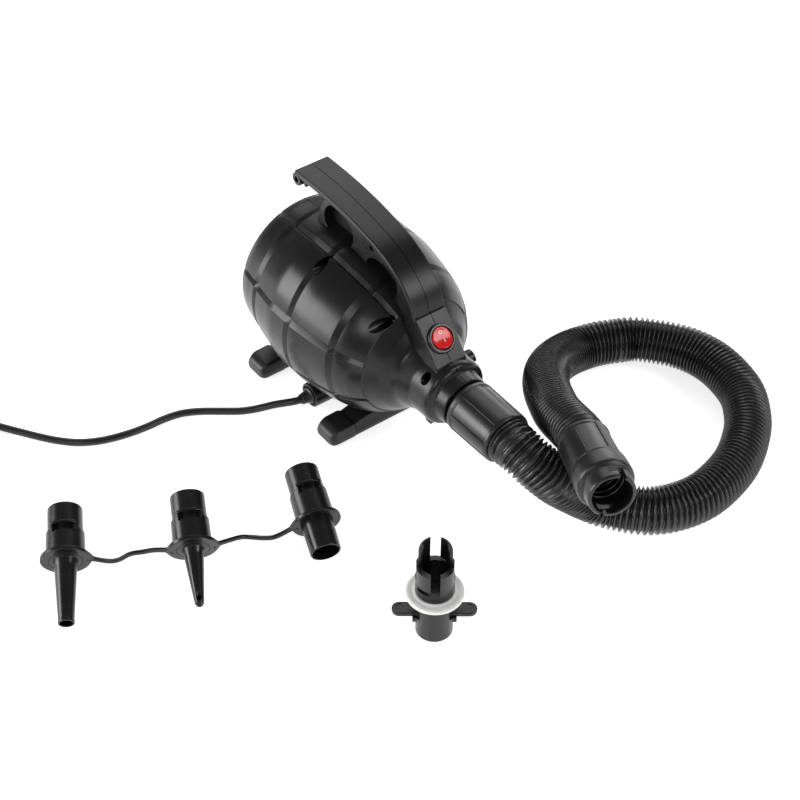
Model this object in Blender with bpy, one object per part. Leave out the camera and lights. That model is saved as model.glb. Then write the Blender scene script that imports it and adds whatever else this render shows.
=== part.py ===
"""Electric air mattress pump: barrel housing, motor and fan, hose, mains lead and valve fittings.

Frame: X towards the outlet, Z up, Y to the pump's left; the origin is the middle of the
front foot's underside on the resting surface.  Metres throughout.
"""
import math

import bmesh
import bpy
from mathutils import Matrix, Vector

MM = 0.001

# ---- driving dimensions (mm) ----
BARREL_Z = 75.5          # height of the barrel and motor axis
OUTLET_Z = 72.5          # height of the outlet axis
WALL = 2.8               # housing wall
SEAM = 0.15              # half gap between the two housing halves
BARREL = [(-118.4, 53.0), (-117.4, 56.4), (-114.2, 60.2), (-107.0, 62.9), (-98.0, 64.6), (-86.3, 67.1),
          (-73.0, 69.4), (-58.0, 71.4), (-36.4, 71.4), (-20.0, 69.3), (9.5, 62.8), (20.5, 57.8), (31.0, 50.6)]
FRONT = [(31.6, 48.8), (40.0, 40.8), (45.0, 34.6), (47.5, 32.6), (53.0, 30.6), (60.0, 28.1), (77.0, 27.5),
         (80.2, 26.4), (82.0, 23.4), (82.4, 21.9), (92.8, 20.5)]
GROOVES_X = (-86.3, -36.4, 9.5)                # front edge of each ring groove
GROOVES_DEG = ((66.0, 5.0), (20.0, -4.8), (-26.0, 4.8))
GROOVE_W = 6.0
GROOVE_D = 1.6
OUTLET_BORE = 17.4
HANDLE = [(-101.0, 177.6, 15.7), (-80.0, 178.0, 15.6), (-59.0, 177.6, 15.4), (-40.0, 176.1, 15.3),
          (-22.6, 173.7, 15.2), (-6.0, 170.6, 15.1), (7.9, 166.7, 15.0), (20.0, 161.4, 14.8),
          (30.5, 154.4, 14.6), (38.5, 147.0, 14.5), (44.2, 138.6, 14.4), (48.6, 126.5, 14.3)]
HANDLE_T = 5.0
WEB_HALF = 12.6
PANEL_TOP = (49.0, 129.2)
PANEL_LOW = (74.8, 99.2)
WEDGE_HALF = 13.8
WELLS = ((-37.5, 135.6, 4.6), (27.2, 118.6, 4.5), (70.0, 91.0, 4.0), (-72.0, 17.6, 4.4), (18.0, 22.5, 4.4))
FOOT_X = (0.0, -97.0)
FOOT_END = 64.5
BOOT_IN = 42.0
CUFF_X0 = 95.0
CUFF_X1 = 141.0
HOSE_R = 18.3
CORD_R = 3.0
FLANGE_R = 18.6          # eyelets of the nozzle strap
EYE_R = 12.3
ADAPTER_AT = (201.4, -112.2)

HOSE_PATH = [(141.5, 0.0, 72.5), (149.0, 0.0, 72.4), (154.5, 0.8, 71.2), (165.0, 4.0, 66.4),
             (177.9, 14.4, 53.2), (182.2, 31.0, 35.2), (187.3, 43.0, 24.2), (197.7, 53.7, 18.5),
             (217.0, 69.6, 18.5), (228.5, 90.9, 18.5), (232.2, 119.9, 18.5), (223.2, 157.3, 18.5),
             (205.2, 187.3, 18.5), (187.0, 205.8, 18.5), (164.3, 219.4, 18.5), (130.2, 225.0, 18.5),
             (100.3, 217.2, 18.5), (72.5, 195.8, 18.5), (62.5, 178.8, 18.5), (56.6, 165.4, 18.5),
             (52.9, 149.7, 18.5), (53.9, 134.9, 21.2), (59.8, 118.3, 26.8), (70.9, 100.9, 35.0),
             (86.6, 84.6, 44.4), (105.0, 70.0, 54.5), (124.6, 57.2, 64.9), (143.6, 46.5, 73.8),
             (165.9, 38.7, 82.3), (178.5, 35.0, 86.5), (185.3, 32.1, 87.6)]
CONNECTOR_AXIS = (0.908, -0.395, 0.142)
CORD_PATH = [(-37.0, -62.0, 13.1), (-39.6, -66.9, 12.2), (-43.6, -71.9, 10.6), (-48.6, -78.0, 8.5),
             (-53.2, -84.6, 6.2), (-57.9, -92.2, 4.3), (-63.6, -101.0, 3.2), (-72.5, -113.0, 3.1),
             (-82.0, -126.0, 3.1), (-88.8, -139.0, 3.1), (-91.5, -153.0, 3.1), (-92.0, -167.0, 3.1),
             (-93.5, -181.0, 3.1), (-96.6, -195.0, 3.1), (-101.5, -208.5, 3.1), (-109.5, -221.5, 3.1),
             (-120.5, -232.5, 3.1), (-133.0, -242.0, 3.1), (-147.0, -251.5, 3.1), (-162.0, -261.3, 3.1),
             (-181.8, -272.7, 3.1)]
# nozzle: end of its barrel, direction, distance to its eyelet, tail profile (distance, radius)
NOZZLES = {
    "nozzle_taper": ((-29.2, -274.0, 28.2), (0.8374, -0.4939, -0.2341), 41.2,
                     [(46.0, 8.2), (92.6, 5.7), (92.6, 4.4), (46.0, 6.8), (38.0, 8.6), (30.0, 10.6)]),
    "nozzle_pointed": ((14.9, -197.0, 31.1), (0.8457, -0.4359, -0.3079), 41.5,
                       [(46.0, 7.2), (85.6, 3.4), (87.8, 2.4), (87.8, 1.3), (85.0, 1.6), (46.0, 5.4), (38.0, 8.6),
                        (30.0, 10.6)]),
    "nozzle_wide": ((42.1, -114.6, 29.4), (0.9119, -0.3302, -0.2438), 44.3,
                    [(70.6, 11.4), (70.6, 9.9), (38.0, 9.9), (30.0, 10.6)]),
}
# strap between neighbouring eyelets, where it hangs free
STRAP_SAG = [[(19.7, -269.3, 13.0), (20.3, -260.9, 9.0), (19.6, -250.6, 8.0), (24.8, -243.4, 10.0),
              (32.1, -236.5, 14.0)],
             [(56.3, -187.7, 14.0), (55.8, -177.2, 10.0), (60.3, -168.9, 8.0), (64.7, -163.9, 8.0),
              (69.9, -156.8, 9.5)]]
COIL_AT = (-194.1, -314.4)
COIL_R = 33.0
PLUG_AT = (-184.0, -359.5, 9.2)


def clear_scene():
    for ob in list(bpy.data.objects):
        bpy.data.objects.remove(ob, do_unlink=True)


def material(name, rgb, rough, metal=0.0, coat=0.0):
    mat = bpy.data.materials.new(name)
    mat.use_nodes = True
    bsdf = mat.node_tree.nodes["Principled BSDF"]
    bsdf.inputs["Base Color"].default_value = (*rgb, 1.0)
    bsdf.inputs["Roughness"].default_value = rough
    bsdf.inputs["Metallic"].default_value = metal
    bsdf.inputs["Coat Weight"].default_value = coat
    mat.diffuse_color = (*rgb, 1.0)
    return mat


def link(name, verts, faces, mat=None, scale=MM):
    """Make an object from points in mm and face index lists; normals are turned outwards."""
    me = bpy.data.meshes.new(name)
    me.from_pydata([tuple(c * scale for c in v) for v in verts], [], faces)
    bm = bmesh.new()
    bm.from_mesh(me)
    bmesh.ops.remove_doubles(bm, verts=bm.verts, dist=1e-7)
    bmesh.ops.recalc_face_normals(bm, faces=bm.faces)
    if bm.calc_volume(signed=True) < 0.0:
        bmesh.ops.reverse_faces(bm, faces=bm.faces)
    bm.to_mesh(me)
    bm.free()
    ob = bpy.data.objects.new(name, me)
    bpy.context.scene.collection.objects.link(ob)
    if mat is not None:
        me.materials.append(mat)
    return ob


def frame_of(axis):
    """Two unit vectors square to an axis direction."""
    a = Vector(axis).normalized()
    ref = Vector((0, 0, 1)) if abs(a.z) < 0.9 else Vector((1, 0, 0))
    u = ref.cross(a).normalized()
    return a, u, a.cross(u)


def lathe(name, profile, origin=(0, 0, 0), axis=(1, 0, 0), seg=32, mat=None, ring=False):
    """Turned solid: profile of (distance along the axis, radius); ring=True closes the loop on itself."""
    a, u, w = frame_of(axis)
    o = Vector(origin)
    verts, rows = [], []
    for d, r in profile:
        if r < 1e-6:
            rows.append([len(verts)])
            verts.append(o + a * d)
            continue
        rows.append(list(range(len(verts), len(verts) + seg)))
        for k in range(seg):
            t = 2 * math.pi * k / seg
            verts.append(o + a * d + (u * math.cos(t) + w * math.sin(t)) * r)
    faces = []
    pairs = list(zip(rows, rows[1:]))
    if ring:
        pairs.append((rows[-1], rows[0]))
    for p, q in pairs:
        for k in range(seg):
            n = (k + 1) % seg
            if len(p) == 1 and len(q) == 1:
                continue
            if len(p) == 1:
                faces.append((p[0], q[n], q[k]))
            elif len(q) == 1:
                faces.append((p[k], p[n], q[0]))
            else:
                faces.append((p[k], p[n], q[n], q[k]))
    if not ring:
        for row, flip in ((rows[0], True), (rows[-1], False)):
            if len(row) > 1:
                faces.append(tuple(reversed(row)) if flip else tuple(row))
    return link(name, verts, faces, mat)


def rod(name, p, q, r, seg=16, mat=None):
    p, q = Vector(p), Vector(q)
    return lathe(name, [(0.0, r), ((q - p).length, r)], p, q - p, seg, mat)


def tube(name, p, q, r_out, r_in, seg=24, mat=None):
    p, q = Vector(p), Vector(q)
    ln = (q - p).length
    return lathe(name, [(0.0, r_in), (0.0, r_out), (ln, r_out), (ln, r_in)], p, q - p, seg, mat, ring=True)


def box(name, lo, hi, mat=None):
    x0, y0, z0 = lo
    x1, y1, z1 = hi
    v = [(x0, y0, z0), (x1, y0, z0), (x1, y1, z0), (x0, y1, z0), (x0, y0, z1), (x1, y0, z1), (x1, y1, z1), (x0, y1, z1)]
    f = [(0, 3, 2, 1), (4, 5, 6, 7), (0, 1, 5, 4), (1, 2, 6, 5), (2, 3, 7, 6), (3, 0, 4, 7)]
    return link(name, v, f, mat)


def prism(name, outline, y0, y1, mat=None):
    """Solid from an outline in X and Z, drawn out along Y."""
    n = len(outline)
    v = [(x, y0, z) for x, z in outline] + [(x, y1, z) for x, z in outline]
    f = [tuple(range(n)), tuple(range(2 * n - 1, n - 1, -1))]
    f += [(i, (i + 1) % n, n + (i + 1) % n, n + i) for i in range(n)]
    return link(name, v, f, mat)


def loft(name, sections, mat=None):
    """Closed solid through equal-length outlines."""
    n = len(sections[0])
    v = [p for s in sections for p in s]
    f = [tuple(range(n)), tuple(range(len(v) - 1, len(v) - n - 1, -1))]
    for k in range(len(sections) - 1):
        a, b = k * n, (k + 1) * n
        f += [(a + i, a + (i + 1) % n, b + (i + 1) % n, b + i) for i in range(n)]
    return link(name, v, f, mat)


def combine(ob, tools, op):
    """Exact boolean of a list of tool solids onto an object, tools used up."""
    for tool in tools if isinstance(tools, (list, tuple)) else [tools]:
        mod = ob.modifiers.new("bool", "BOOLEAN")
        mod.object = tool
        mod.operation = op
        mod.solver = "EXACT"
        dg = bpy.context.evaluated_depsgraph_get()
        dg.update()
        me = bpy.data.meshes.new_from_object(ob.evaluated_get(dg))
        old = ob.data
        ob.modifiers.remove(mod)
        ob.data = me
        bpy.data.meshes.remove(old)
        bpy.data.objects.remove(tool, do_unlink=True)
    return ob


def add(ob, *tools):
    return combine(ob, list(tools), "UNION")


def cut(ob, *tools):
    return combine(ob, list(tools), "DIFFERENCE")


def copy(ob, name):
    new = ob.copy()
    new.data = ob.data.copy()
    new.name = name
    bpy.context.scene.collection.objects.link(new)
    return new


def tidy(ob, mat):
    """One material, tiny edges dissolved, outward normals."""
    bm = bmesh.new()
    bm.from_mesh(ob.data)
    bmesh.ops.remove_doubles(bm, verts=bm.verts, dist=2e-6)
    bmesh.ops.dissolve_degenerate(bm, edges=bm.edges, dist=2e-6)
    bmesh.ops.recalc_face_normals(bm, faces=bm.faces)
    bm.to_mesh(ob.data)
    bm.free()
    ob.data.materials.clear()
    ob.data.materials.append(mat)
    for p in ob.data.polygons:
        p.material_index = 0
    return ob


def pivot(ob, point):
    """Put the object's origin on its joint axis without moving the shape."""
    p = Vector(point) * MM
    ob.data.transform(Matrix.Translation(-p))
    ob.location = p
    return ob


def lerp(table, x):
    for (xa, ya), (xb, yb) in zip(table, table[1:]):
        if x <= xb:
            return ya + (yb - ya) * (x - xa) / (xb - xa)
    return table[-1][1]


def sweep(name, path, radius, bevel, mat):
    """Round tube along a centreline, as a curve with filled ends."""
    cu = bpy.data.curves.new(name, "CURVE")
    cu.dimensions = "3D"
    cu.bevel_depth = radius * MM
    cu.bevel_resolution = bevel
    cu.use_fill_caps = True
    sp = cu.splines.new("POLY")
    sp.points.add(len(path) - 1)
    for pt, p in zip(sp.points, path):
        pt.co = (*[c * MM for c in p], 1.0)
    ob = bpy.data.objects.new(name, cu)
    bpy.context.scene.collection.objects.link(ob)
    cu.materials.append(mat)
    return ob


def smooth_path(path, step):
    """Even points along a smooth curve through the given ones (mm)."""
    pts = [Vector(p) for p in path]
    dense = []
    for i in range(len(pts) - 1):
        p0 = pts[max(i - 1, 0)]
        p1, p2 = pts[i], pts[i + 1]
        p3 = pts[min(i + 2, len(pts) - 1)]
        for k in range(12):
            t = k / 12.0
            dense.append(0.5 * ((2 * p1) + (p2 - p0) * t + (2 * p0 - 5 * p1 + 4 * p2 - p3) * t * t
                                + (3 * p1 - p0 - 3 * p2 + p3) * t ** 3))
    dense.append(pts[-1])
    total = sum((b - a).length for a, b in zip(dense, dense[1:]))
    n = max(2, round(total / step))
    out, want, run = [dense[0]], total / n, 0.0
    for a, b in zip(dense, dense[1:]):
        seg = (b - a).length
        while run + seg >= want - 1e-9 and len(out) < n:
            out.append(a.lerp(b, (want - run) / seg))
            want += total / n
        run += seg
    out.append(dense[-1])
    return out


# ---- materials ----
def make_materials():
    return {
        "housing_plastic": material("housing_plastic", (0.022, 0.023, 0.025), 0.42),
        "soft_rubber": material("soft_rubber", (0.016, 0.016, 0.017), 0.62),
        "switch_black": material("switch_black", (0.03, 0.03, 0.033), 0.3),
        "switch_red": material("switch_red", (0.72, 0.015, 0.02), 0.22, coat=0.4),
        "hose_plastic": material("hose_plastic", (0.03, 0.03, 0.032), 0.36),
        "connector_grey": material("connector_grey", (0.05, 0.05, 0.052), 0.34),
        "nozzle_plastic": material("nozzle_plastic", (0.035, 0.035, 0.037), 0.33),
        "white_silicone": material("white_silicone", (0.86, 0.86, 0.84), 0.38),
        "cord_pvc": material("cord_pvc", (0.02, 0.02, 0.021), 0.45),
        "steel": material("steel", (0.55, 0.55, 0.56), 0.28, 1.0),
        "zinc_steel": material("zinc_steel", (0.62, 0.6, 0.55), 0.35, 1.0),
        "lamination": material("lamination", (0.32, 0.32, 0.33), 0.45, 1.0),
        "copper": material("copper", (0.72, 0.33, 0.16), 0.3, 1.0),
        "brass": material("brass", (0.72, 0.56, 0.26), 0.28, 1.0),
        "carbon": material("carbon", (0.06, 0.06, 0.06), 0.7),
        "motor_nylon": material("motor_nylon", (0.5, 0.48, 0.42), 0.5),
        "fan_grey": material("fan_grey", (0.24, 0.25, 0.27), 0.4),
    }


# ---- housing ----
def skin_radius(x):
    return lerp(BARREL, x) if x <= BARREL[-1][0] else lerp([BARREL[-1]] + FRONT, x)


def centre_z(x):
    t = min(max((x - 28.0) / 24.0, 0.0), 1.0)
    return BARREL_Z + (OUTLET_Z - BARREL_Z) * t * t * (3 - 2 * t)


def groove_depth(x, deg):
    """Depth of the moulded grooves: a sharp front or inner wall and a sloping flank."""
    if x > BARREL[-1][0] + 0.01 or x < -116.0:
        return 0.0
    d = 0.0
    for gx in GROOVES_X:
        if gx - GROOVE_W <= x <= gx:
            d = max(d, GROOVE_D * min((x - gx + GROOVE_W) / (GROOVE_W - 0.5), (gx - x) / 0.5))
    side = deg if deg <= 90.0 else 180.0 - deg
    for g, w in GROOVES_DEG:
        u = (side - g) / w
        if 0.0 <= u <= 1.0:
            d = max(d, GROOVE_D * min(u / 0.08, (1.0 - u) / 0.92))
    return d


def housing_skin():
    xs = sorted({x for x, _ in BARREL} | {g - GROOVE_W for g in GROOVES_X} | {g - 0.5 for g in GROOVES_X})
    xs += [x for x, _ in FRONT]
    half = [-90.0, -74.0, -58.0, -42.0, -8.0, 3.0, 33.0, 44.0, 55.0, 80.0, 90.0]
    for g, w in reversed(GROOVES_DEG):
        half += sorted((g, g + 0.08 * w, g + w))
    half = sorted(half)
    degs = half + [180.0 - d for d in reversed(half[1:-1])]
    rows, verts, faces = [], [], []
    for x in xs:
        rows.append(range(len(verts), len(verts) + len(degs)))
        for d in degs:
            r = skin_radius(x) - groove_depth(x, d)
            t = math.radians(d)
            verts.append((x, r * math.cos(t), centre_z(x) + r * math.sin(t)))
    n = len(degs)
    for p, q in zip(rows, rows[1:]):
        faces += [(p[k], p[(k + 1) % n], q[(k + 1) % n], q[k]) for k in range(n)]
    faces += [tuple(rows[0]), tuple(reversed(rows[-1]))]
    return link("housing", verts, faces)


def housing_cavity():
    """Air space: rear opening, fan and motor room, outlet bore."""
    prof = [(-121.0, 50.4), (-114.6, 50.4), (-114.2, 55.6), (-98.0, 64.6 - WALL), (-86.3, 67.1 - 3.8),
            (-58.0, 71.4 - WALL), (-36.4, 71.4 - 3.4), (9.5, 62.8 - 3.8), (31.0, 50.6 - 5.2), (40.0, 40.8 - WALL),
            (47.5, 29.8), (60.0, 25.4), (74.0, 22.5), (82.0, OUTLET_BORE + 0.6), (96.0, OUTLET_BORE)]
    verts, faces, rows, seg = [], [], [], 26
    for x, r in prof:
        rows.append(range(len(verts), len(verts) + seg))
        for k in range(seg):
            t = 2 * math.pi * (k + 0.5) / seg
            verts.append((x, r * math.cos(t), centre_z(x) + r * math.sin(t)))
    for p, q in zip(rows, rows[1:]):
        faces += [(p[k], p[(k + 1) % seg], q[(k + 1) % seg], q[k]) for k in range(seg)]
    faces += [tuple(rows[0]), tuple(reversed(rows[-1]))]
    return link("cavity", verts, faces)


def handle_solid():
    secs = []
    for i, (x, z, w) in enumerate(HANDLE):
        a = Vector(HANDLE[max(i - 1, 0)][:2])
        b = Vector(HANDLE[min(i + 1, len(HANDLE) - 1)][:2])
        t = (b - a).normalized()
        nx, nz = -t.y, t.x
        ring = [(-w, -HANDLE_T), (-w, -1.1), (-w + 1.1, 0.0), (w - 1.1, 0.0), (w, -1.1), (w, -HANDLE_T)]
        secs.append([(x + nx * d, y, z + nz * d) for y, d in ring])
    return loft("handle", secs)


def web_solid():
    top = [(x - 0.8, z - 2.4) for x, z, _ in HANDLE if x > -70.0]
    outline = [(-71.0, 132.0), (-76.5, 144.0), (-74.5, 152.0), (-71.0, 160.0), (-66.5, 167.0), (-64.0, 174.0)] + top
    outline += [(44.0, 118.0), (30.0, 100.0), (0.0, 115.0), (-40.0, 128.0)]
    web = prism("web", outline, -WEB_HALF, WEB_HALF)
    one = [(-65.5, 148.2), (-66.8, 155.0), (-64.5, 162.0), (-60.0, 167.2), (-53.0, 169.4), (-42.0, 168.4),
           (-33.5, 165.0), (-30.0, 158.0), (-31.0, 149.0)]
    two = [(-13.5, 137.5), (-12.5, 144.0), (-8.5, 149.6), (-2.0, 152.8), (8.0, 154.4), (17.0, 153.2),
           (23.0, 147.0), (24.0, 138.0)]
    for y0, y1 in ((-WEB_HALF - 1.0, -4.2), (4.2, WEB_HALF + 1.0)):
        cut(web, prism("finger1", one, y0, y1), prism("finger2", two, y0, y1))
    return web


def wedge_solid():
    (ax, az), (bx, bz) = PANEL_TOP, PANEL_LOW
    side = [(ax, az), (bx, bz), (75.6, 96.5), (75.6, 88.0), (60.0, 84.0), (44.0, 90.0), (30.0, 104.0),
            (33.0, 116.0), (40.0, 127.5), (44.0, 131.0)]
    secs = []
    for y, s in ((-WEDGE_HALF, 0.0), (-WEDGE_HALF + 0.8, 0.8), (WEDGE_HALF - 0.8, 0.8), (WEDGE_HALF, 0.0)):
        nx, nz = 0.758, 0.652
        secs.append([(x + (nx * (s - 0.8) if i < 2 else 0.0), y, z + (nz * (s - 0.8) if i < 2 else 0.0))
                     for i, (x, z) in enumerate(side)])
    return loft("wedge", secs)


def panel_frame():
    """Middle of the switch panel, its outward normal and its downhill direction."""
    a, b = Vector((PANEL_TOP[0], 0, PANEL_TOP[1])), Vector((PANEL_LOW[0], 0, PANEL_LOW[1]))
    down = (b - a).normalized()
    normal = Vector((-down.z, 0, down.x))
    return a.lerp(b, 0.5), normal, down


def build_housing(mats):
    mat = mats["housing_plastic"]
    mid, normal, _ = panel_frame()
    body = housing_skin()
    add(body, handle_solid(), web_solid(), wedge_solid())
    add(body, prism("lug", [(59.6, 48.0), (60.4, 41.6), (62.4, 38.8), (67.6, 38.8), (69.6, 41.6), (70.4, 48.0)],
                    -9.0, 9.0))
    add(body, rod("rear_boss", (-98.4, -14.4, 170.6), (-98.4, 14.4, 170.6), 4.2, 16))
    add(body, prism("hook", [(-95.5, 173.8), (-88.4, 174.0), (-88.4, 167.6), (-90.6, 167.2), (-91.2, 170.6),
                             (-95.5, 170.6)], -14.0, 14.0))
    cut(body, housing_cavity())
    inner = mid - normal * 3.2
    cut(body, rod("switch_room", inner, mid - normal * 30.0, 11.6, 24))
    cut(body, rod("switch_hole", inner - normal * 1.0, mid + normal * 3.0, 10.2, 28))
    left = copy(body, "housing_left")
    right = body
    right.name = "housing_right"
    cut(right, box("half_r", (-200, -SEAM, -20), (200, 120, 260)))
    cut(left, box("half_l", (-200, -120, -20), (200, SEAM, 260)))
    for x, z, r in WELLS:
        if x < 60:
            for half, s, rr in ((right, -1.0, r + 1.9), (left, 1.0, r)):
                post = rod("post", (x, s * (SEAM + 0.15), z), (x, s * 60.0, z), rr, 12)
                limit = [(x + d, skin_radius(x + d) - 1.9) for d in (-9.0, -3.0, 3.0, 9.0)]
                add(half, combine(post, lathe("limit", limit, (0, 0, BARREL_Z), (1, 0, 0), 48), "INTERSECT"))
        cut(right, rod("well", (x, -9.0, z), (x, -90.0, z), r, 14))
        cut(right, rod("clear", (x, -10.0, z), (x, 1.0, z), 1.9, 8))
        cut(left, rod("pilot", (x, 0.0, z), (x, 13.0, z), 1.9, 8))
    for x, z in ((-98.4, 170.6), (-7.0, 160.6)):
        cut(right, rod("well", (x, -8.0, z), (x, -30.0, z), 2.5, 12))
        cut(right, rod("clear", (x, -9.0, z), (x, 1.0, z), 1.5, 8))
        cut(left, rod("pilot", (x, 0.0, z), (x, 9.0, z), 1.5, 8))
    add(right, rod("gland", (-36.4, -26.0, 13.4), (-36.4, -52.6, 13.4), 10.2, 24))
    cut(right, rod("gland_bore", (-36.4, -15.0, 13.4), (-36.4, -56.0, 13.4), 5.0, 18))
    cut(right, rod("gland_dish", (-36.4, -50.8, 13.4), (-36.4, -56.0, 13.4), 8.4, 24))
    arc = [math.radians(18.0 * k) for k in range(11)]
    add(left, prism("far_boss", [(61.0 + 6.2 * math.cos(t), 79.5 + 6.4 * math.sin(t)) for t in arc], 24.0, 30.5))
    tidy(right, mat)
    tidy(left, mat)


def build_feet(mats):
    """Cross bars under the barrel, each with a rubber boot pushed on either end."""
    tongue = 56.0
    for fx, tag in zip(FOOT_X, ("front", "rear")):
        secs = []
        for y, top in ((-BOOT_IN, 11.8), (-30.0, 15.0), (30.0, 15.0), (BOOT_IN, 11.8)):
            secs.append([(fx + x, y, z) for x, z in ((-11.4, 0.0), (11.4, 0.0), (12.2, 4.0), (9.6, top),
                                                     (-9.6, top), (-12.2, 4.0))])
        bar = loft(tag + "_foot", secs)
        add(bar, box("tongue", (fx - 6.0, -tongue, 3.0), (fx + 6.0, tongue, 9.0)))
        r = max(skin_radius(fx + d) for d in (-12.0, 0.0, 12.0))
        cut(bar, rod("cradle", (fx - 20.0, 0, BARREL_Z), (fx + 20.0, 0, BARREL_Z), r + 0.35, 72))
        tidy(bar, mats["housing_plastic"])
        for side, s in (("near", -1), ("far", 1)):
            boot = boot_solid("foot_boot_%s_%s" % (tag, side), fx, s)
            lo, hi = sorted((s * (BOOT_IN - 4.0), s * (tongue + 0.5)))
            cut(boot, box("pocket", (fx - 6.4, lo, 2.6), (fx + 6.4, hi, 9.4)))
            tidy(boot, mats["soft_rubber"])


def boot_solid(name, fx, side):
    secs = []
    for y, h, g in ((BOOT_IN + 0.3, 12.6, 0.0), (BOOT_IN + 3.0, 13.2, 0.7), (FOOT_END - 8.0, 12.9, 0.7),
                    (FOOT_END - 2.4, 10.6, -0.6), (FOOT_END, 7.6, -3.2)):
        secs.append([(fx + x, side * y, z) for x, z in
                     ((-11.8 - min(g, 0), 0.0), (11.8 + min(g, 0), 0.0), (12.6 + g, 4.0), (10.2 + g, h - 2.4),
                      (7.6 + g, h), (-7.6 - g, h), (-10.2 - g, h - 2.4), (-12.6 - g, 4.0))])
    return loft(name, secs)


def screw(name, head, tip, r_head, h_head, r_shank, mat):
    head, tip = Vector(head), Vector(tip)
    ln = (tip - head).length
    prof = [(0.9, 0.0), (0.9, r_head * 0.42), (0.0, r_head * 0.5), (0.0, r_head * 0.8), (0.5, r_head),
            (h_head, r_head), (h_head, r_shank), (ln - 1.6, r_shank), (ln, r_shank * 0.3), (ln, 0.0)]
    return lathe(name, prof, head, tip - head, 8, mat)


def build_screws(mats):
    n = 0
    for x, z, r in WELLS:
        n += 1
        screw("housing_screw_%d" % n, (x, -11.8, z), (x, 11.5, z), r - 0.9, 2.4, 1.6, mats["zinc_steel"])
    for x, z in ((-98.4, 170.6), (-7.0, 160.6)):
        n += 1
        screw("housing_screw_%d" % n, (x, -9.8, z), (x, 7.5, z), 2.1, 1.5, 1.2, mats["zinc_steel"])


def build_grille(mats):
    """Rear air inlet: hub, two rings and three cross bars in a rim that plugs the rear opening."""
    x0, x1 = -119.6, -116.6
    g = lathe("inlet_grille", [(x0, 46.6), (x0, 50.0), (-114.8, 50.0), (-114.8, 47.4), (x1, 46.6)],
              (0, 0, BARREL_Z), (1, 0, 0), 24, None, ring=True)
    parts = [rod("hub", (x0 + 0.2, 0, BARREL_Z), (x1, 0, BARREL_Z), 11.0, 16)]
    for r in (23.0, 35.0):
        parts.append(tube("ring", (x0 + 0.4, 0, BARREL_Z), (x1 - 0.2, 0, BARREL_Z), r + 1.6, r - 1.6, 18))
    for k in range(3):
        b = box("spoke", (x0 + 0.6, -48.0, -1.5), (x1 - 0.4, 48.0, 1.5))
        b.data.transform(Matrix.Translation((0, 0, BARREL_Z * MM)) @ Matrix.Rotation(math.pi * (k + 0.5) / 3, 4, "X"))
        parts.append(b)
    add(g, *parts)
    tidy(g, mats["housing_plastic"])


def build_switch(mats):
    mid, normal, down = panel_frame()
    base = mid
    body = lathe("switch_body", [(-18.0, 0.0), (-18.0, 9.6), (0.35, 9.6), (0.35, 11.5), (1.6, 11.4), (2.3, 10.6),
                                 (2.3, 8.9), (-5.6, 8.9), (-5.6, 0.0)], base, normal, 24)
    for y in (-4.0, 4.0):
        lug = box("lug", (-2.6, y - 0.4, -25.0), (2.6, y + 0.4, -17.0))
        rot = Matrix.Rotation(math.atan2(normal.x, normal.z), 4, "Y")
        lug.data.transform(Matrix.Translation(base * MM) @ rot)
        add(body, lug)
    tidy(body, mats["switch_black"])
    tilt = math.radians(9.0)
    rows, verts, faces, seg = [], [], [], 20
    for h, r in ((-2.6, 7.0), (0.6, 8.3), (2.4, 8.3), (3.0, 7.7)):
        rows.append(range(len(verts), len(verts) + seg))
        for k in range(seg):
            t = 2 * math.pi * k / seg
            u, v = r * math.cos(t), r * math.sin(t)
            rise = 0.018 * u * u if h > 1.0 else 0.0
            verts.append((u, v, h + rise))
    for p, q in zip(rows, rows[1:]):
        faces += [(p[k], p[(k + 1) % seg], q[(k + 1) % seg], q[k]) for k in range(seg)]
    top = rows[-1]
    mid_row = []
    for k in range(1, seg // 2):
        mid_row.append(len(verts))
        t = 2 * math.pi * k / seg
        verts.append((7.7 * math.cos(t), 0.0, 3.0 + 0.018 * (7.7 * math.cos(t)) ** 2))
    faces.append(tuple(rows[0]))
    for side in (0, 1):
        def at(k):
            return top[k] if side == 0 else top[(seg - k) % seg]
        faces.append((at(0), at(1), mid_row[0]))
        for k in range(1, seg // 2 - 1):
            faces.append((at(k), at(k + 1), mid_row[k], mid_row[k - 1]))
        faces.append((at(seg // 2 - 1), at(seg // 2), mid_row[-1]))
    rocker = link("switch_rocker", verts, faces)
    axes = Matrix((down, Vector((0, 1, 0)), normal)).transposed().to_4x4()
    # local X runs downhill on the panel; the uphill end is pressed in at rest
    rocker.data.transform(axes @ Matrix.Rotation(-tilt, 4, "Y"))
    rocker.data.transform(Matrix.Translation((base - normal * 0.4) * MM))
    tidy(rocker, mats["switch_red"])
    pivot(rocker, base - normal * 0.4)


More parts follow.
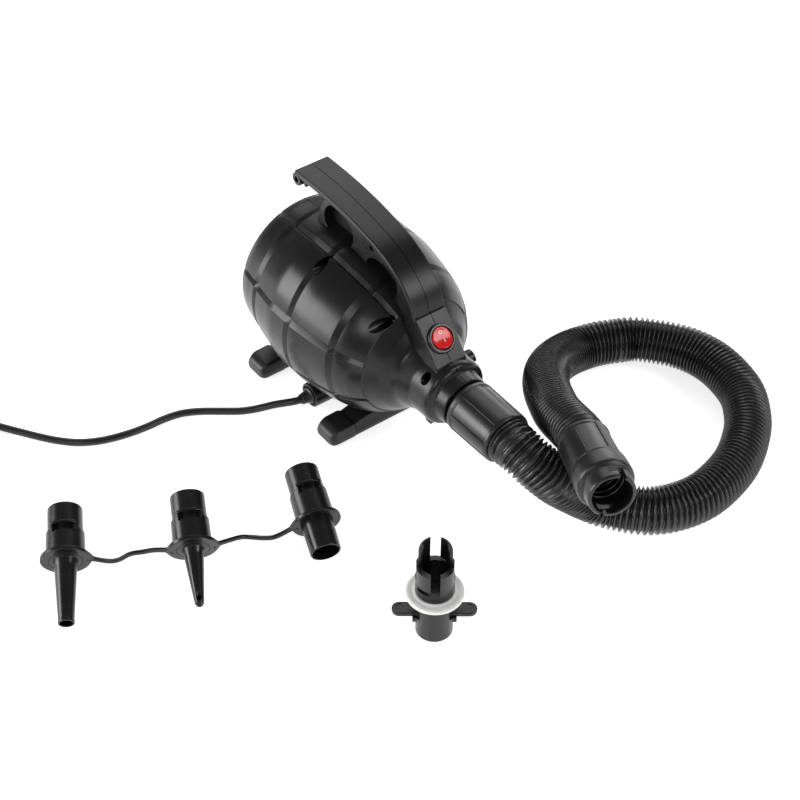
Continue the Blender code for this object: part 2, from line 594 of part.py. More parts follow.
def build_hose(mats):
    z = OUTLET_Z
    cuff = lathe("hose_cuff", [(CUFF_X0, 16.2), (CUFF_X0, 19.6), (CUFF_X0 + 1.2, 20.8), (CUFF_X0 + 4.4, 21.2),
                               (CUFF_X1 - 1.4, 20.5), (CUFF_X1, 19.6), (CUFF_X1, 16.2)],
                 (0, 0, z), (1, 0, 0), 26, None, ring=True)
    for k in range(6):
        b = box("panel", (CUFF_X0 + 6.5, -5.2, 20.05), (CUFF_X1 - 3.0, 5.2, 24.0))
        b.data.transform(Matrix.Translation((0, 0, z * MM)) @ Matrix.Rotation(math.radians(60 * k + 68), 4, "X"))
        cut(cuff, b)
    plug = tube("spigot_in", (CUFF_X0 - 8.0, 0, z), (CUFF_X0 + 6.0, 0, z), 17.0, 14.6, 22)
    add(cuff, plug)
    tidy(cuff, mats["connector_grey"])
    pivot(cuff, (CUFF_X0, 0, z))
    d = Vector(CONNECTOR_AXIS).normalized()
    route = [Vector(HOSE_PATH[0])] + smooth_path(HOSE_PATH[1:-1], 14.0) + [Vector(HOSE_PATH[-1])]
    sweep("hose", route, HOSE_R, 4, mats["hose_plastic"])
    start = Vector(HOSE_PATH[-1]) + d * 0.5
    con = lathe("hose_end_connector", [(0.0, 14.6), (0.0, 18.9), (1.5, 19.8), (36.0, 20.2), (40.5, 20.9), (50.0, 21.2),
                                       (53.6, 20.6), (54.0, 18.2), (65.2, 17.6), (66.6, 16.9), (66.6, 14.6)],
                start, d, 26, None, ring=True)
    a, u, w = frame_of(d)
    rot = Matrix((a, u, w)).transposed().to_4x4()
    for k in range(3):
        b = box("panel", (4.0, -6.0, 19.3), (35.0, 6.0, 26.0))
        b.data.transform(Matrix.Translation(start * MM) @ rot @ Matrix.Rotation(math.radians(120 * k + 20), 4, "X"))
        cut(con, b)
    for k in range(2):
        turn = Matrix.Translation(start * MM) @ rot @ Matrix.Rotation(math.pi * k + math.radians(-25), 4, "X")
        b = box("slot", (56.6, -2.6, 10.0), (70.0, 2.6, 22.0))
        b.data.transform(turn)
        c = box("slot", (56.6, -9.0, 10.0), (61.2, 2.4, 22.0))
        c.data.transform(turn)
        cut(con, b, c)
    tidy(con, mats["connector_grey"])


def build_cord(mats):
    gx, gz = -36.4, 13.4
    relief = lathe("cord_strain_relief", [(0.0, 3.25), (0.0, 4.6), (30.0, 4.6), (30.0, 6.8), (32.2, 6.8), (33.0, 5.6),
                                          (39.6, 4.4), (40.0, 4.0), (40.0, 3.25)], (gx, -21.1, gz), (0, -1, 0), 14,
                   None, ring=True)
    tidy(relief, mats["soft_rubber"])
    sweep("mains_cord", [(gx, -8.0, gz), (gx, -36.0, gz)] + smooth_path([(gx, -61.3, gz)] + CORD_PATH, 9.0),
          CORD_R, 2, mats["cord_pvc"])
    cx, cy = COIL_AT
    w, h = 6.2, 12.15
    coil = lathe("mains_cord_coil", [(-h, COIL_R - w + 2.0), (-h, COIL_R + w - 2.0), (-h + 2.0, COIL_R + w),
                                     (h - 2.0, COIL_R + w), (h, COIL_R + w - 2.0), (h, COIL_R - w + 2.0),
                                     (h - 2.0, COIL_R - w), (-h + 2.0, COIL_R - w)],
                 (cx, cy, h + 0.05), (0, 0, 1), 26, None, ring=True)
    tidy(coil, mats["cord_pvc"])


def build_plug(mats):
    """Generic two-pin mains plug lying flat beside the coil."""
    o = Vector(PLUG_AT)
    d = Vector((0.995, -0.1, 0.0)).normalized()
    side = Vector((0, 0, 1)).cross(d)
    secs = []
    for t, w, h in ((0.0, 3.4, 3.2), (14.0, 4.2, 4.0), (16.0, 6.5, 5.2), (22.0, 12.0, 7.2), (30.0, 16.0, 8.0),
                    (44.0, 17.5, 8.4), (45.5, 16.2, 7.4)):
        ring = []
        for k in range(16):
            a = 2 * math.pi * k / 16
            c, s = math.cos(a), math.sin(a)
            ring.append(o + d * t + side * (w * math.copysign(abs(c) ** 0.7, c))
                        + Vector((0, 0, h * math.copysign(abs(s) ** 0.7, s))))
        secs.append(ring)
    body = loft("plug_body", secs)
    for s in (-9.5, 9.5):
        cut(body, rod("pin_seat", o + d * 36.0 + side * s, o + d * 60.0 + side * s, 2.3, 12))
    tidy(body, mats["cord_pvc"])
    for n, s in enumerate((-9.5, 9.5)):
        base = o + d * 36.4 + side * s
        lathe("plug_pin_%d" % (n + 1), [(0.0, 2.0), (26.5, 2.0), (28.5, 1.2), (28.5, 0.0)], base, d, 12, mats["brass"])


def build_nozzles(mats):
    """Bore, barrel with two lugs for the hose end, and a tail of each nozzle's own shape."""
    for name, (base, d, eye, tail) in NOZZLES.items():
        head = [(0.0, 10.6), (0.0, 12.2), (0.8, 12.8), (19.0, 12.8), (19.4, 14.0), (eye - 1.9, 14.3), (eye - 1.9, 11.8)]
        ob = lathe(name, head + tail, base, d, 20, None, ring=True)
        rot = Matrix(frame_of(d)).transposed().to_4x4()
        for k in range(2):
            lug = box("lug", (12.4, -4.0, 11.4), (16.6, 4.0, 15.4))
            lug.data.transform(Matrix.Translation(Vector(base) * MM) @ rot @ Matrix.Rotation(math.pi * k, 4, "X"))
            add(ob, lug)
        tidy(ob, mats["nozzle_plastic"])


def build_tether(mats):
    """Narrow strap with three eyelets that hold the nozzles together."""
    eyes = []
    for base, d, eye, _ in NOZZLES.values():
        d = Vector(d).normalized()
        eyes.append((Vector(base) + d * eye, d, Vector((0, 0, 1)).cross(d).normalized()))
    plates = [rod("nozzle_tether", c - d * 1.5, c + d * 1.5, FLANGE_R, 24) for c, d, _ in eyes]
    straps = []
    for (c0, _, y0), (c1, _, y1), sag in zip(eyes, eyes[1:], STRAP_SAG):
        path = [c0 + y0 * 15.5] + [Vector(p) for p in sag] + [c1 - y1 * 15.5]
        path = smooth_path(path, 8.0)
        secs = []
        for i, p in enumerate(path):
            t = (path[min(i + 1, len(path) - 1)] - path[max(i - 1, 0)]).normalized()
            flat = t.cross(Vector((0, 0, 1))).normalized()
            up = flat.cross(t)
            secs.append([p + flat * x + up * z for x, z in ((-1.1, -1.5), (1.1, -1.5), (1.1, 1.5), (-1.1, 1.5))])
        straps.append(loft("strap", secs))
    base = plates[0]
    add(base, straps[0], plates[1], straps[1], plates[2])
    for c, d, _ in eyes:
        cut(base, rod("eye", c - d * 8.0, c + d * 8.0, EYE_R, 20))
    tidy(base, mats["nozzle_plastic"])


def build_adapter(mats):
    ax, ay = ADAPTER_AT
    prof = [(0.0, 10.2), (0.0, 12.2), (0.8, 12.7), (17.0, 12.9), (35.4, 12.9), (35.4, 16.0), (37.0, 16.0),
            (37.0, 12.4), (41.0, 12.4), (41.2, 13.8), (78.0, 13.8), (83.0, 11.8), (83.0, 10.4), (60.0, 11.0),
            (40.0, 10.2)]
    body = lathe("valve_adapter", prof, (ax, ay, 0.0), (0, 0, 1), 24, None, ring=True)
    view = math.radians(52.9)
    turn = Matrix.Translation((ax * MM, ay * MM, 0)) @ Matrix.Rotation(view, 4, "Z")
    for s in (-1, 1):
        wing = [(s * 11.6, -5.5), (s * 22.0, -5.5), (s * 27.5, -3.8), (s * 30.0, 0.0), (s * 27.5, 3.8), (s * 22.0, 5.5),
                (s * 11.6, 5.5)]
        v = [(x, y, z) for z in (18.4, 21.8) for x, y in wing]
        n = len(wing)
        f = [tuple(range(n)), tuple(range(2 * n - 1, n - 1, -1))]
        f += [(i, (i + 1) % n, n + (i + 1) % n, n + i) for i in range(n)]
        ob = link("wing", v, f)
        ob.data.transform(turn)
        near, far = sorted((s * 12.0, s * 15.5))
        tab = box("tab", (near, -7.6, 15.0), (far, -3.6, 19.0))
        tab.data.transform(turn)
        add(body, ob, tab)
    for half_turn in (0.0, math.pi):
        b = box("slot", (-3.1, -16.0, 52.0), (3.1, -7.0, 86.0))
        c = box("slot", (-12.0, -16.0, 50.0), (3.1, -8.6, 54.4))
        for ob in (b, c):
            ob.data.transform(turn @ Matrix.Rotation(half_turn, 4, "Z"))
        cut(body, b, c)
    tidy(body, mats["nozzle_plastic"])
    ring = lathe("adapter_washer", [(37.3, 12.8), (37.3, 20.2), (38.0, 20.8), (40.0, 20.6), (40.8, 19.6), (40.8, 14.2),
                                    (40.6, 12.8)], (ax, ay, 0.0), (0, 0, 1), 26, None, ring=True)
    tidy(ring, mats["white_silicone"])


def build_motor(mats):
    z = BARREL_Z
    o = (0, 0, z)
    ax = (1, 0, 0)
    shaft = rod("motor_shaft", (-98.0, 0, z), (24.0, 0, z), 3.0, 16)
    tidy(shaft, mats["steel"])
    pivot(shaft, (0, 0, z))
    lathe("stator_core", [(-45.0, 23.5), (-45.0, 36.0), (-9.0, 36.0), (-9.0, 23.5)], o, ax, 24, mats["lamination"], ring=True)
    for k, y in ((1, 1), (2, -1)):
        outer = [(y * (26.0 + 9.0 * math.sin(t)), z + 24.0 * math.cos(t)) for t in (0.0, 0.5, 1.0, 1.57, 2.14, 2.64, 3.14)]
        inner = [(y * (26.0 + 3.0 * math.sin(t)), z + 20.0 * math.cos(t)) for t in (3.14, 2.64, 2.14, 1.57, 1.0, 0.5, 0.0)]
        loft("field_coil_%d" % k, [[(x, p, q) for p, q in outer + inner] for x in (-52.5, -45.4)], mats["copper"])
    arm = lathe("armature_core", [(-43.0, 3.2), (-43.0, 21.5), (-11.0, 21.5), (-11.0, 3.2)], o, ax, 20, mats["lamination"],
                ring=True)
    pivot(arm, (0, 0, z))
    wind = lathe("armature_winding", [(-51.0, 3.2), (-51.0, 13.0), (-46.5, 18.8), (-43.3, 18.8), (-43.3, 3.2)], o, ax, 18,
                 mats["copper"], ring=True)
    pivot(wind, (0, 0, z))
    com = lathe("commutator", [(-10.6, 3.2), (-10.6, 9.0), (-5.0, 9.0), (-4.4, 10.6), (4.0, 10.6), (4.0, 3.2)], o, ax, 18,
                mats["brass"], ring=True)
    pivot(com, (0, 0, z))
    for name, x in (("rear_bearing", -62.0), ("front_bearing", 12.0)):
        lathe(name, [(x, 3.2), (x, 9.5), (x + 6.0, 9.5), (x + 6.0, 3.2)], o, ax, 16, mats["steel"], ring=True)
    # rear frame: bearing cup, disc and rim that reaches the housing wall
    rear = lathe("motor_frame_rear", [(-62.6, 5.0), (-62.6, 12.0), (-60.0, 13.0), (-60.0, 40.0), (-54.5, 44.0), (-54.5, 41.0),
                                      (-57.2, 38.0), (-57.2, 13.0), (-55.8, 12.2), (-55.8, 9.8), (-62.2, 9.8),
                                      (-62.2, 5.0)], o, ax, 16, None, ring=True)
    rear_arms = []
    for k in range(4):
        b = box("arm", (-60.0, -3.0, 38.5), (-54.6, 3.0, 66.2))
        b.data.transform(Matrix.Translation((0, 0, z * MM)) @ Matrix.Rotation(math.pi * (k + 0.5) / 2, 4, "X"))
        rear_arms.append(b)
    add(rear, *rear_arms)
    tidy(rear, mats["motor_nylon"])
    front = lathe("motor_frame_front", [(18.4, 5.0), (18.4, 12.4), (10.0, 13.4), (4.8, 30.0), (-8.4, 38.6), (-8.4, 36.3),
                                        (-1.0, 32.0), (2.0, 26.5), (7.8, 12.4), (11.6, 9.8), (18.1, 9.8), (18.1, 5.0)],
                  o, ax, 16, None, ring=True)
    arms = []
    for k in range(4):
        b = box("arm", (-8.0, -3.0, 36.8), (-4.0, 3.0, 60.2))
        b.data.transform(Matrix.Translation((0, 0, z * MM)) @ Matrix.Rotation(math.pi * (k + 0.5) / 2, 4, "X"))
        arms.append(b)
    add(front, *arms)
    for s in (-1, 1):
        lo, hi = sorted((s * 11.0, s * 34.0))
        cut(front, box("window", (-4.6, lo, z - 4.4), (4.4, hi, z + 4.4)))
    tidy(front, mats["motor_nylon"])
    for n, s in ((1, -1), (2, 1)):
        lo, hi = sorted((s * 14.0, s * 33.0))
        holder = box("brush_holder_%d" % n, (-4.2, lo, z - 4.0), (4.0, hi, z + 4.0))
        lo2, hi2 = sorted((s * 13.0, s * 30.0))
        cut(holder, box("guide", (-2.8, lo2, z - 2.6), (2.6, hi2, z + 2.6)))
        tidy(holder, mats["brass"])
        lo3, hi3 = sorted((s * 10.9, s * 24.0))
        tidy(box("carbon_brush_%d" % n, (-2.5, lo3, z - 2.3), (2.3, hi3, z + 2.3)), mats["carbon"])
    # fan: backplate, eye ring and curved blades in one moulding
    fan = lathe("impeller", [(-97.0, 3.2), (-97.0, 8.0), (-78.0, 12.0), (-72.5, 20.0), (-70.6, 50.0), (-68.6, 50.0),
                             (-69.6, 20.0), (-71.0, 3.2)], o, ax, 20, None, ring=True)
    blades = []
    for k in range(8):
        pts = []
        for i in range(4):
            t = i / 3.0
            r = 14.0 + 35.0 * t
            a = 2 * math.pi * k / 8 - 0.75 * t
            pts.append((r * math.cos(a), r * math.sin(a), a))
        secs = []
        for i, (y, w, a) in enumerate(pts):
            t = i / 3.0
            nx, nz = -math.sin(a), math.cos(a)
            x_lo = -88.0 + 5.0 * t
            x_hi = -71.6 + 1.6 * t
            secs.append([(x_lo, y - 0.8 * nx, z + w - 0.8 * nz), (x_hi, y - 0.8 * nx, z + w - 0.8 * nz),
                         (x_hi, y + 0.8 * nx, z + w + 0.8 * nz), (x_lo, y + 0.8 * nx, z + w + 0.8 * nz)])
        blades.append(loft("blade", secs))
    add(fan, *blades)
    tidy(fan, mats["fan_grey"])
    pivot(fan, (0, 0, z))
    lathe("fan_shroud", [(-104.6, 28.0), (-104.6, 30.0), (-92.0, 30.6), (-86.0, 54.0), (-86.0, 62.6), (-84.0, 62.6),
                         (-84.0, 52.6), (-89.6, 28.6), (-98.0, 28.0)], o, ax, 18, mats["motor_nylon"], ring=True)
    nut = lathe("impeller_nut", [(-101.4, 3.6), (-101.4, 6.2), (-97.3, 6.2), (-97.3, 3.6)], o, ax, 6, mats["steel"], ring=True)
    pivot(nut, (0, 0, z))
    # internal lead from the cord entry to the switch
    lead = smooth_path([(-33.0, -10.0, 20.5), (-26.0, -26.0, 29.5), (-14.0, -42.0, 47.5), (0.0, -47.0, 73.0),
                        (14.0, -42.0, 91.0), (25.0, -30.0, 100.0), (35.0, -15.0, 101.5), (42.6, -6.4, 99.0)], 11.0)
    sweep("live_lead", lead, 1.2, 1, mats["copper"])
    clamp = box("cord_clamp", (-43.0, -16.4, 11.2), (-30.0, -10.6, 18.0))
    cut(clamp, rod("hole", (-36.4, -30.0, 13.4), (-36.4, 0.0, 13.4), 3.3, 12))
    tidy(clamp, mats["motor_nylon"])


def main():
    clear_scene()
    mats = make_materials()
    build_housing(mats)
    build_feet(mats)
    build_screws(mats)
    build_grille(mats)
    build_switch(mats)
    build_hose(mats)
    build_cord(mats)
    build_plug(mats)
    build_nozzles(mats)
    build_tether(mats)
    build_adapter(mats)
    build_motor(mats)


main()
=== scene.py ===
"""Looks of the electric air mattress pump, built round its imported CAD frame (lengths in mm, scaled by MM)."""
import math

import bmesh
import bpy
from mathutils import Matrix, Vector


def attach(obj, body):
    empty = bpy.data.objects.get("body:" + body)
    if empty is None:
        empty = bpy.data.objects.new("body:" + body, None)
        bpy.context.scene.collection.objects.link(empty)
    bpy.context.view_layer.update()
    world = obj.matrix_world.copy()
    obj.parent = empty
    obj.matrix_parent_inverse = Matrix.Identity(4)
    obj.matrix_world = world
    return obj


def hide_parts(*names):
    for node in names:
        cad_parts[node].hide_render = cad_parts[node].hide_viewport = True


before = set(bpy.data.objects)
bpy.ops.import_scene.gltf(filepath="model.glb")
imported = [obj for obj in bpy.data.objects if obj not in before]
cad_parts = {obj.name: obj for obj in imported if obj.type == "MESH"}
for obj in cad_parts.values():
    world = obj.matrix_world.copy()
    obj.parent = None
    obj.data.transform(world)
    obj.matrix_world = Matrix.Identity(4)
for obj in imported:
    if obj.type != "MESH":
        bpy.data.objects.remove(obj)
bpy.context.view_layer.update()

MM = 0.001

# ---- driving dimensions: the CAD's, but for the seam, the collar, the groove depth and the lead's start ----
BARREL_Z = 75.5
OUTLET_Z = 72.5
SEAM = 0.26
BARREL = [(-118.4, 53.0), (-117.4, 56.4), (-114.2, 60.2), (-107.0, 62.9), (-98.0, 64.6), (-86.3, 67.1),
          (-73.0, 69.4), (-58.0, 71.4), (-36.4, 71.4), (-20.0, 69.3), (9.5, 62.8), (20.5, 57.8), (31.0, 50.6)]
FRONT = [(31.6, 48.8), (40.0, 40.8), (45.0, 34.6), (47.5, 32.6), (53.0, 30.6), (60.0, 28.1), (63.0, 27.8),
         (76.0, 27.5), (78.8, 27.1), (80.8, 25.8), (82.0, 23.4), (82.5, 22.0), (91.8, 20.7), (92.5, 20.4),
         (92.8, 19.8)]
GROOVES_X = (-86.3, -36.4, 9.5)
GROOVES_DEG = ((66.0, 5.0), (20.0, -4.8), (-26.0, 4.8))
GROOVE_W = 6.0
GROOVE_D = 2.4
HANDLE = [(-101.0, 177.6, 15.7), (-80.0, 178.0, 15.6), (-59.0, 177.6, 15.4), (-40.0, 176.1, 15.3),
          (-22.6, 173.7, 15.2), (-6.0, 170.6, 15.1), (7.9, 166.7, 15.0), (20.0, 161.4, 14.8),
          (30.5, 154.4, 14.6), (38.5, 147.0, 14.5), (44.2, 138.6, 14.4), (48.6, 126.5, 14.3)]
PANEL_TOP = (49.0, 129.2)
PANEL_LOW = (74.8, 99.2)
WELLS = ((-37.5, 135.6, 4.6), (27.2, 118.6, 4.5), (70.0, 91.0, 4.0), (-72.0, 17.6, 4.4), (18.0, 22.5, 4.4))
SMALL_WELLS = ((-98.4, 170.4), (-7.0, 160.6))
FOOT_X = (0.0, -97.0)
CUFF_X0 = 95.0
CUFF_X1 = 141.0
HOSE_R = 18.3
HOSE_PATH = [(141.5, 0.0, 72.5), (149.0, 0.0, 72.4), (154.5, 0.8, 71.2), (165.0, 4.0, 66.4),
             (177.9, 14.4, 53.2), (182.2, 31.0, 35.2), (187.3, 43.0, 24.2), (197.7, 53.7, 18.5),
             (217.0, 69.6, 18.5), (228.5, 90.9, 18.5), (232.2, 119.9, 18.5), (223.2, 157.3, 18.5),
             (205.2, 187.3, 18.5), (187.0, 205.8, 18.5), (164.3, 219.4, 18.5), (130.2, 225.0, 18.5),
             (100.3, 217.2, 18.5), (72.5, 195.8, 18.5), (62.5, 178.8, 18.5), (56.6, 165.4, 18.5),
             (52.9, 149.7, 18.5), (53.9, 134.9, 21.2), (59.8, 118.3, 26.8), (70.9, 100.9, 35.0),
             (86.6, 84.6, 44.4), (105.0, 70.0, 54.5), (124.6, 57.2, 64.9), (143.6, 46.5, 73.8),
             (165.9, 38.7, 82.3), (178.5, 35.0, 86.5), (185.3, 32.1, 87.6)]
CONNECTOR_AXIS = (0.908, -0.395, 0.142)
CORD_R = 3.0
GLAND_X = -36.4
GLAND_Z = 13.4
CORD_PATH = [*((GLAND_X, y, GLAND_Z) for y in (-36.0, -42.0, -49.0, -57.0)),
             (-37.0, -62.0, 13.1), (-39.6, -66.9, 12.2), (-43.6, -71.9, 10.6),
             (-48.6, -78.0, 8.5), (-53.2, -84.6, 6.2), (-57.9, -92.2, 4.3), (-63.6, -101.0, 3.2),
             (-72.5, -113.0, 3.1), (-82.0, -126.0, 3.1), (-88.8, -139.0, 3.1), (-91.5, -153.0, 3.1),
             (-92.0, -167.0, 3.1), (-93.5, -181.0, 3.1), (-96.6, -195.0, 3.1), (-101.5, -208.5, 3.1),
             (-109.5, -221.5, 3.1), (-120.5, -232.5, 3.1), (-133.0, -242.0, 3.1), (-147.0, -251.5, 3.1),
             (-162.0, -261.3, 3.1), (-181.8, -272.7, 3.1), (-195.6, -280.6, 3.1)]
COIL_AT = (-194.1, -314.4)
PLUG_AT = (-184.0, -359.5, 9.2)
ADAPTER_AT = (201.4, -112.2)
VIEW_AZIMUTH = 52.9
NOZZLES = {
    "nozzle_taper": ((-29.2, -274.0, 28.2), (0.8374, -0.4939, -0.2341), 41.2),
    "nozzle_pointed": ((14.9, -197.0, 31.1), (0.8457, -0.4359, -0.3079), 41.5),
    "nozzle_wide": ((42.1, -114.6, 29.4), (0.9119, -0.3302, -0.2438), 44.3),
}
STRAP_SAG = [[(19.7, -269.3, 13.0), (20.3, -260.9, 9.0), (19.6, -250.6, 8.0), (24.8, -243.4, 10.0),
              (32.1, -236.5, 14.0)],
             [(56.3, -187.7, 14.0), (55.8, -177.2, 10.0), (60.3, -168.9, 8.0), (64.7, -163.9, 8.0),
              (69.9, -156.8, 9.5)]]


# ---- mesh helpers ----
def linked(name, data):
    """New object with this data, in the scene."""
    ob = bpy.data.objects.new(name, data)
    bpy.context.scene.collection.objects.link(ob)
    return ob


def solid(name, verts, faces):
    """Object from points in mm and face index lists, its normals turned outwards."""
    me = bpy.data.meshes.new(name)
    me.from_pydata([tuple(c * MM for c in v) for v in verts], [], faces)
    bm = bmesh.new()
    bm.from_mesh(me)
    bmesh.ops.remove_doubles(bm, verts=bm.verts, dist=1e-7)
    bmesh.ops.dissolve_degenerate(bm, edges=bm.edges, dist=1e-7)
    bmesh.ops.recalc_face_normals(bm, faces=bm.faces)
    if bm.calc_volume(signed=True) < 0.0:
        bmesh.ops.reverse_faces(bm, faces=bm.faces)
    bm.to_mesh(me)
    bm.free()
    return linked(name, me)


def skin(name, rings, loop=False):
    """Closed solid through rings of equal length; loop joins the last ring to the first."""
    n, m = len(rings[0]), len(rings)
    faces = []
    for k in range(m if loop else m - 1):
        a, b = k * n, ((k + 1) % m) * n
        faces += [(a + i, a + (i + 1) % n, b + (i + 1) % n, b + i) for i in range(n)]
    if not loop:
        faces += [tuple(range(n)), tuple(range((m - 1) * n, m * n))]
    return solid(name, [p for ring in rings for p in ring], faces)


def frame_of(axis):
    a = Vector(axis).normalized()
    ref = Vector((0, 0, 1)) if abs(a.z) < 0.9 else Vector((1, 0, 0))
    u = ref.cross(a).normalized()
    return a, u, a.cross(u)


def soften(outline, radius, steps=4, loop=True):
    """Round the corners of an outline in two dimensions."""
    out, n = [], len(outline)
    for i, p in enumerate(outline):
        if not loop and i in (0, n - 1):
            out.append(tuple(p))
            continue
        a, b, c = Vector(outline[i - 1]), Vector(p), Vector(outline[(i + 1) % n])
        s = b + (a - b).normalized() * min(radius, (a - b).length * 0.45)
        e = b + (c - b).normalized() * min(radius, (c - b).length * 0.45)
        for k in range(steps + 1):
            t = k / steps
            out.append(tuple(s * (1 - t) ** 2 + b * (2 * t * (1 - t)) + e * t * t))
    return out


def around(seg, offset=0.0):
    """Cosine and sine at equal steps round a circle."""
    angles = [2 * math.pi * (k + offset) / seg for k in range(seg)]
    return [(math.cos(a), math.sin(a)) for a in angles]


def circle(centre, u, w, radius, seg):
    return [centre + (u * c + w * s) * radius for c, s in around(seg)]


def turned(name, profile, origin, axis, seg=72, radius=0.4, steps=3):
    """Turned solid from a closed profile of (distance along the axis, radius) with rounded corners."""
    a, u, w = frame_of(axis)
    o = Vector(origin)
    spokes = [u * c + w * s for c, s in around(seg)]
    rounded = soften(profile, radius, steps)
    return skin(name, [[o + a * d + spoke * r for spoke in spokes] for d, r in rounded], loop=True)


def rod(name, p, q, r, seg=40, radius=0.0):
    p, q = Vector(p), Vector(q)
    ln = (q - p).length
    return turned(name, [(0.0, 0.0), (0.0, r), (ln, r), (ln, 0.0)], p, q - p, seg, max(radius, 1e-4), 2)


def bevelled(ob, width, steps=2, angle=25.0):
    """Round every edge sharper than an angle."""
    bm = bmesh.new()
    bm.from_mesh(ob.data)
    edges = [e for e in bm.edges if len(e.link_faces) == 2 and e.calc_face_angle(0.0) > math.radians(angle)]
    bmesh.ops.bevel(bm, geom=edges, offset=width * MM, segments=steps, profile=0.5, affect="EDGES",
                    clamp_overlap=True)
    bm.to_mesh(ob.data)
    bm.free()
    return ob


def block(name, lo, hi, width=0.4):
    (x0, y0, z0), (x1, y1, z1) = lo, hi
    ob = skin(name, [[(x0, y0, z), (x1, y0, z), (x1, y1, z), (x0, y1, z)] for z in (z0, z1)])
    return bevelled(ob, width) if width else ob


def prism(name, outline, y0, y1, width=0.0):
    """Solid from an outline in X and Z drawn out along Y, its rim rounded by width."""
    ob = skin(name, [[(x, y, z) for x, z in outline] for y in (y0, y1)])
    return bevelled(ob, width, 3, 60.0) if width else ob


def moved(ob, matrix):
    ob.data.transform(matrix)
    return ob


def combine(ob, tools, operation):
    for tool in tools:
        mod = ob.modifiers.new("bool", "BOOLEAN")
        mod.object = tool
        mod.operation = operation
        mod.solver = "EXACT"
        dg = bpy.context.evaluated_depsgraph_get()
        dg.update()
        me = bpy.data.meshes.new_from_object(ob.evaluated_get(dg))
        old = ob.data
        ob.modifiers.remove(mod)
        ob.data = me
        bpy.data.meshes.remove(old)
        bpy.data.objects.remove(tool, do_unlink=True)
    return ob


def add(ob, *tools):
    return combine(ob, tools, "UNION")


def cut(ob, *tools):
    return combine(ob, tools, "DIFFERENCE")


def together(*obs):
    """Several closed meshes as one object, with no boolean; parts that overlap stay as separate shells."""
    bm = bmesh.new()
    for ob in obs:
        bm.from_mesh(ob.data)
    me = bpy.data.meshes.new(obs[0].name)
    bm.to_mesh(me)
    bm.free()
    for ob in obs[1:]:
        bpy.data.objects.remove(ob, do_unlink=True)
    obs[0].data = me
    return obs[0]


def twin(ob, name):
    return linked(name, ob.data.copy())


def basis(x, y, z, origin):
    """Matrix with these axes and an origin in mm."""
    m = Matrix((x, y, z)).transposed().to_4x4()
    m.translation = Vector(origin) * MM
    return m


def place(origin, axis, turn=0.0):
    """Matrix that carries X onto an axis at an origin, after a turn about X in degrees."""
    return basis(*frame_of(axis), origin) @ Matrix.Rotation(math.radians(turn), 4, "X")


def spline(points, per=12):
    """Smooth line through the given points."""
    pts = [Vector(p) for p in points]
    out = []
    for i in range(len(pts) - 1):
        p0, p1, p2, p3 = pts[max(i - 1, 0)], pts[i], pts[i + 1], pts[min(i + 2, len(pts) - 1)]
        for k in range(per):
            t = k / per
            out.append(0.5 * (2 * p1 + (p2 - p0) * t + (2 * p0 - 5 * p1 + 4 * p2 - p3) * t * t
                              + (3 * p1 - p0 - 3 * p2 + p3) * t ** 3))
    return out + [pts[-1]]


def even(line, step):
    """The same line cut into equal steps."""
    lengths = [(b - a).length for a, b in zip(line, line[1:])]
    total = sum(lengths)
    n = max(2, round(total / step))
    out, i, run = [], 0, 0.0
    for k in range(n):
        want = total * k / n
        while run + lengths[i] < want:
            run += lengths[i]
            i += 1
        out.append(line[i].lerp(line[i + 1], (want - run) / lengths[i]))
    return out + [line[-1]]


def length_of(line):
    return sum((b - a).length for a, b in zip(line, line[1:]))


def monotone(table):
    """Smooth function through a table that never overshoots it."""
    xs = [p[0] for p in table]
    ys = [p[1] for p in table]
    sec = [(b - a) / (d - c) for a, b, c, d in zip(ys, ys[1:], xs, xs[1:])]
    slope = [sec[0]] + [0.0 if a * b <= 0 else 2 * a * b / (a + b) for a, b in zip(sec, sec[1:])] + [sec[-1]]

    def value(x):
        i = 0
        while i < len(xs) - 2 and x > xs[i + 1]:
            i += 1
        h = xs[i + 1] - xs[i]
        t = min(max((x - xs[i]) / h, 0.0), 1.0)
        return ((2 * t ** 3 - 3 * t * t + 1) * ys[i] + (t ** 3 - 2 * t * t + t) * h * slope[i]
                + (3 * t * t - 2 * t ** 3) * ys[i + 1] + (t ** 3 - t * t) * h * slope[i + 1])
    return value


def linear(table):
    """Straight lines through a table, level past its ends."""
    def value(x):
        if x <= table[0][0]:
            return table[0][1]
        for (a, p), (b, q) in zip(table, table[1:]):
            if x <= b:
                return p + (q - p) * (x - a) / (b - a)
        return table[-1][1]
    return value


def shaded(ob, angle=32.0, weighted=True):
    """Smooth shading, broken at edges sharper than an angle."""
    ob.data.polygons.foreach_set("use_smooth", [True] * len(ob.data.polygons))
    ob.data.set_sharp_from_angle(angle=math.radians(angle))
    if weighted:
        mod = ob.modifiers.new("normals", "WEIGHTED_NORMAL")
        mod.keep_sharp = True
        mod.weight = 60
    ob.data.update()
    return ob


def piece(ob, mat, body, *nodes, slot=None, angle=32.0, weighted=True):
    """Hand an object its material, body and CAD nodes; the slot argument is not used."""
    if ob.type == "MESH":
        shaded(ob, angle, weighted)
    ob.data.materials.clear()
    ob.data.materials.append(MATS[mat])
    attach(ob, body)
    if nodes:
        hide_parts(*nodes)
    return ob


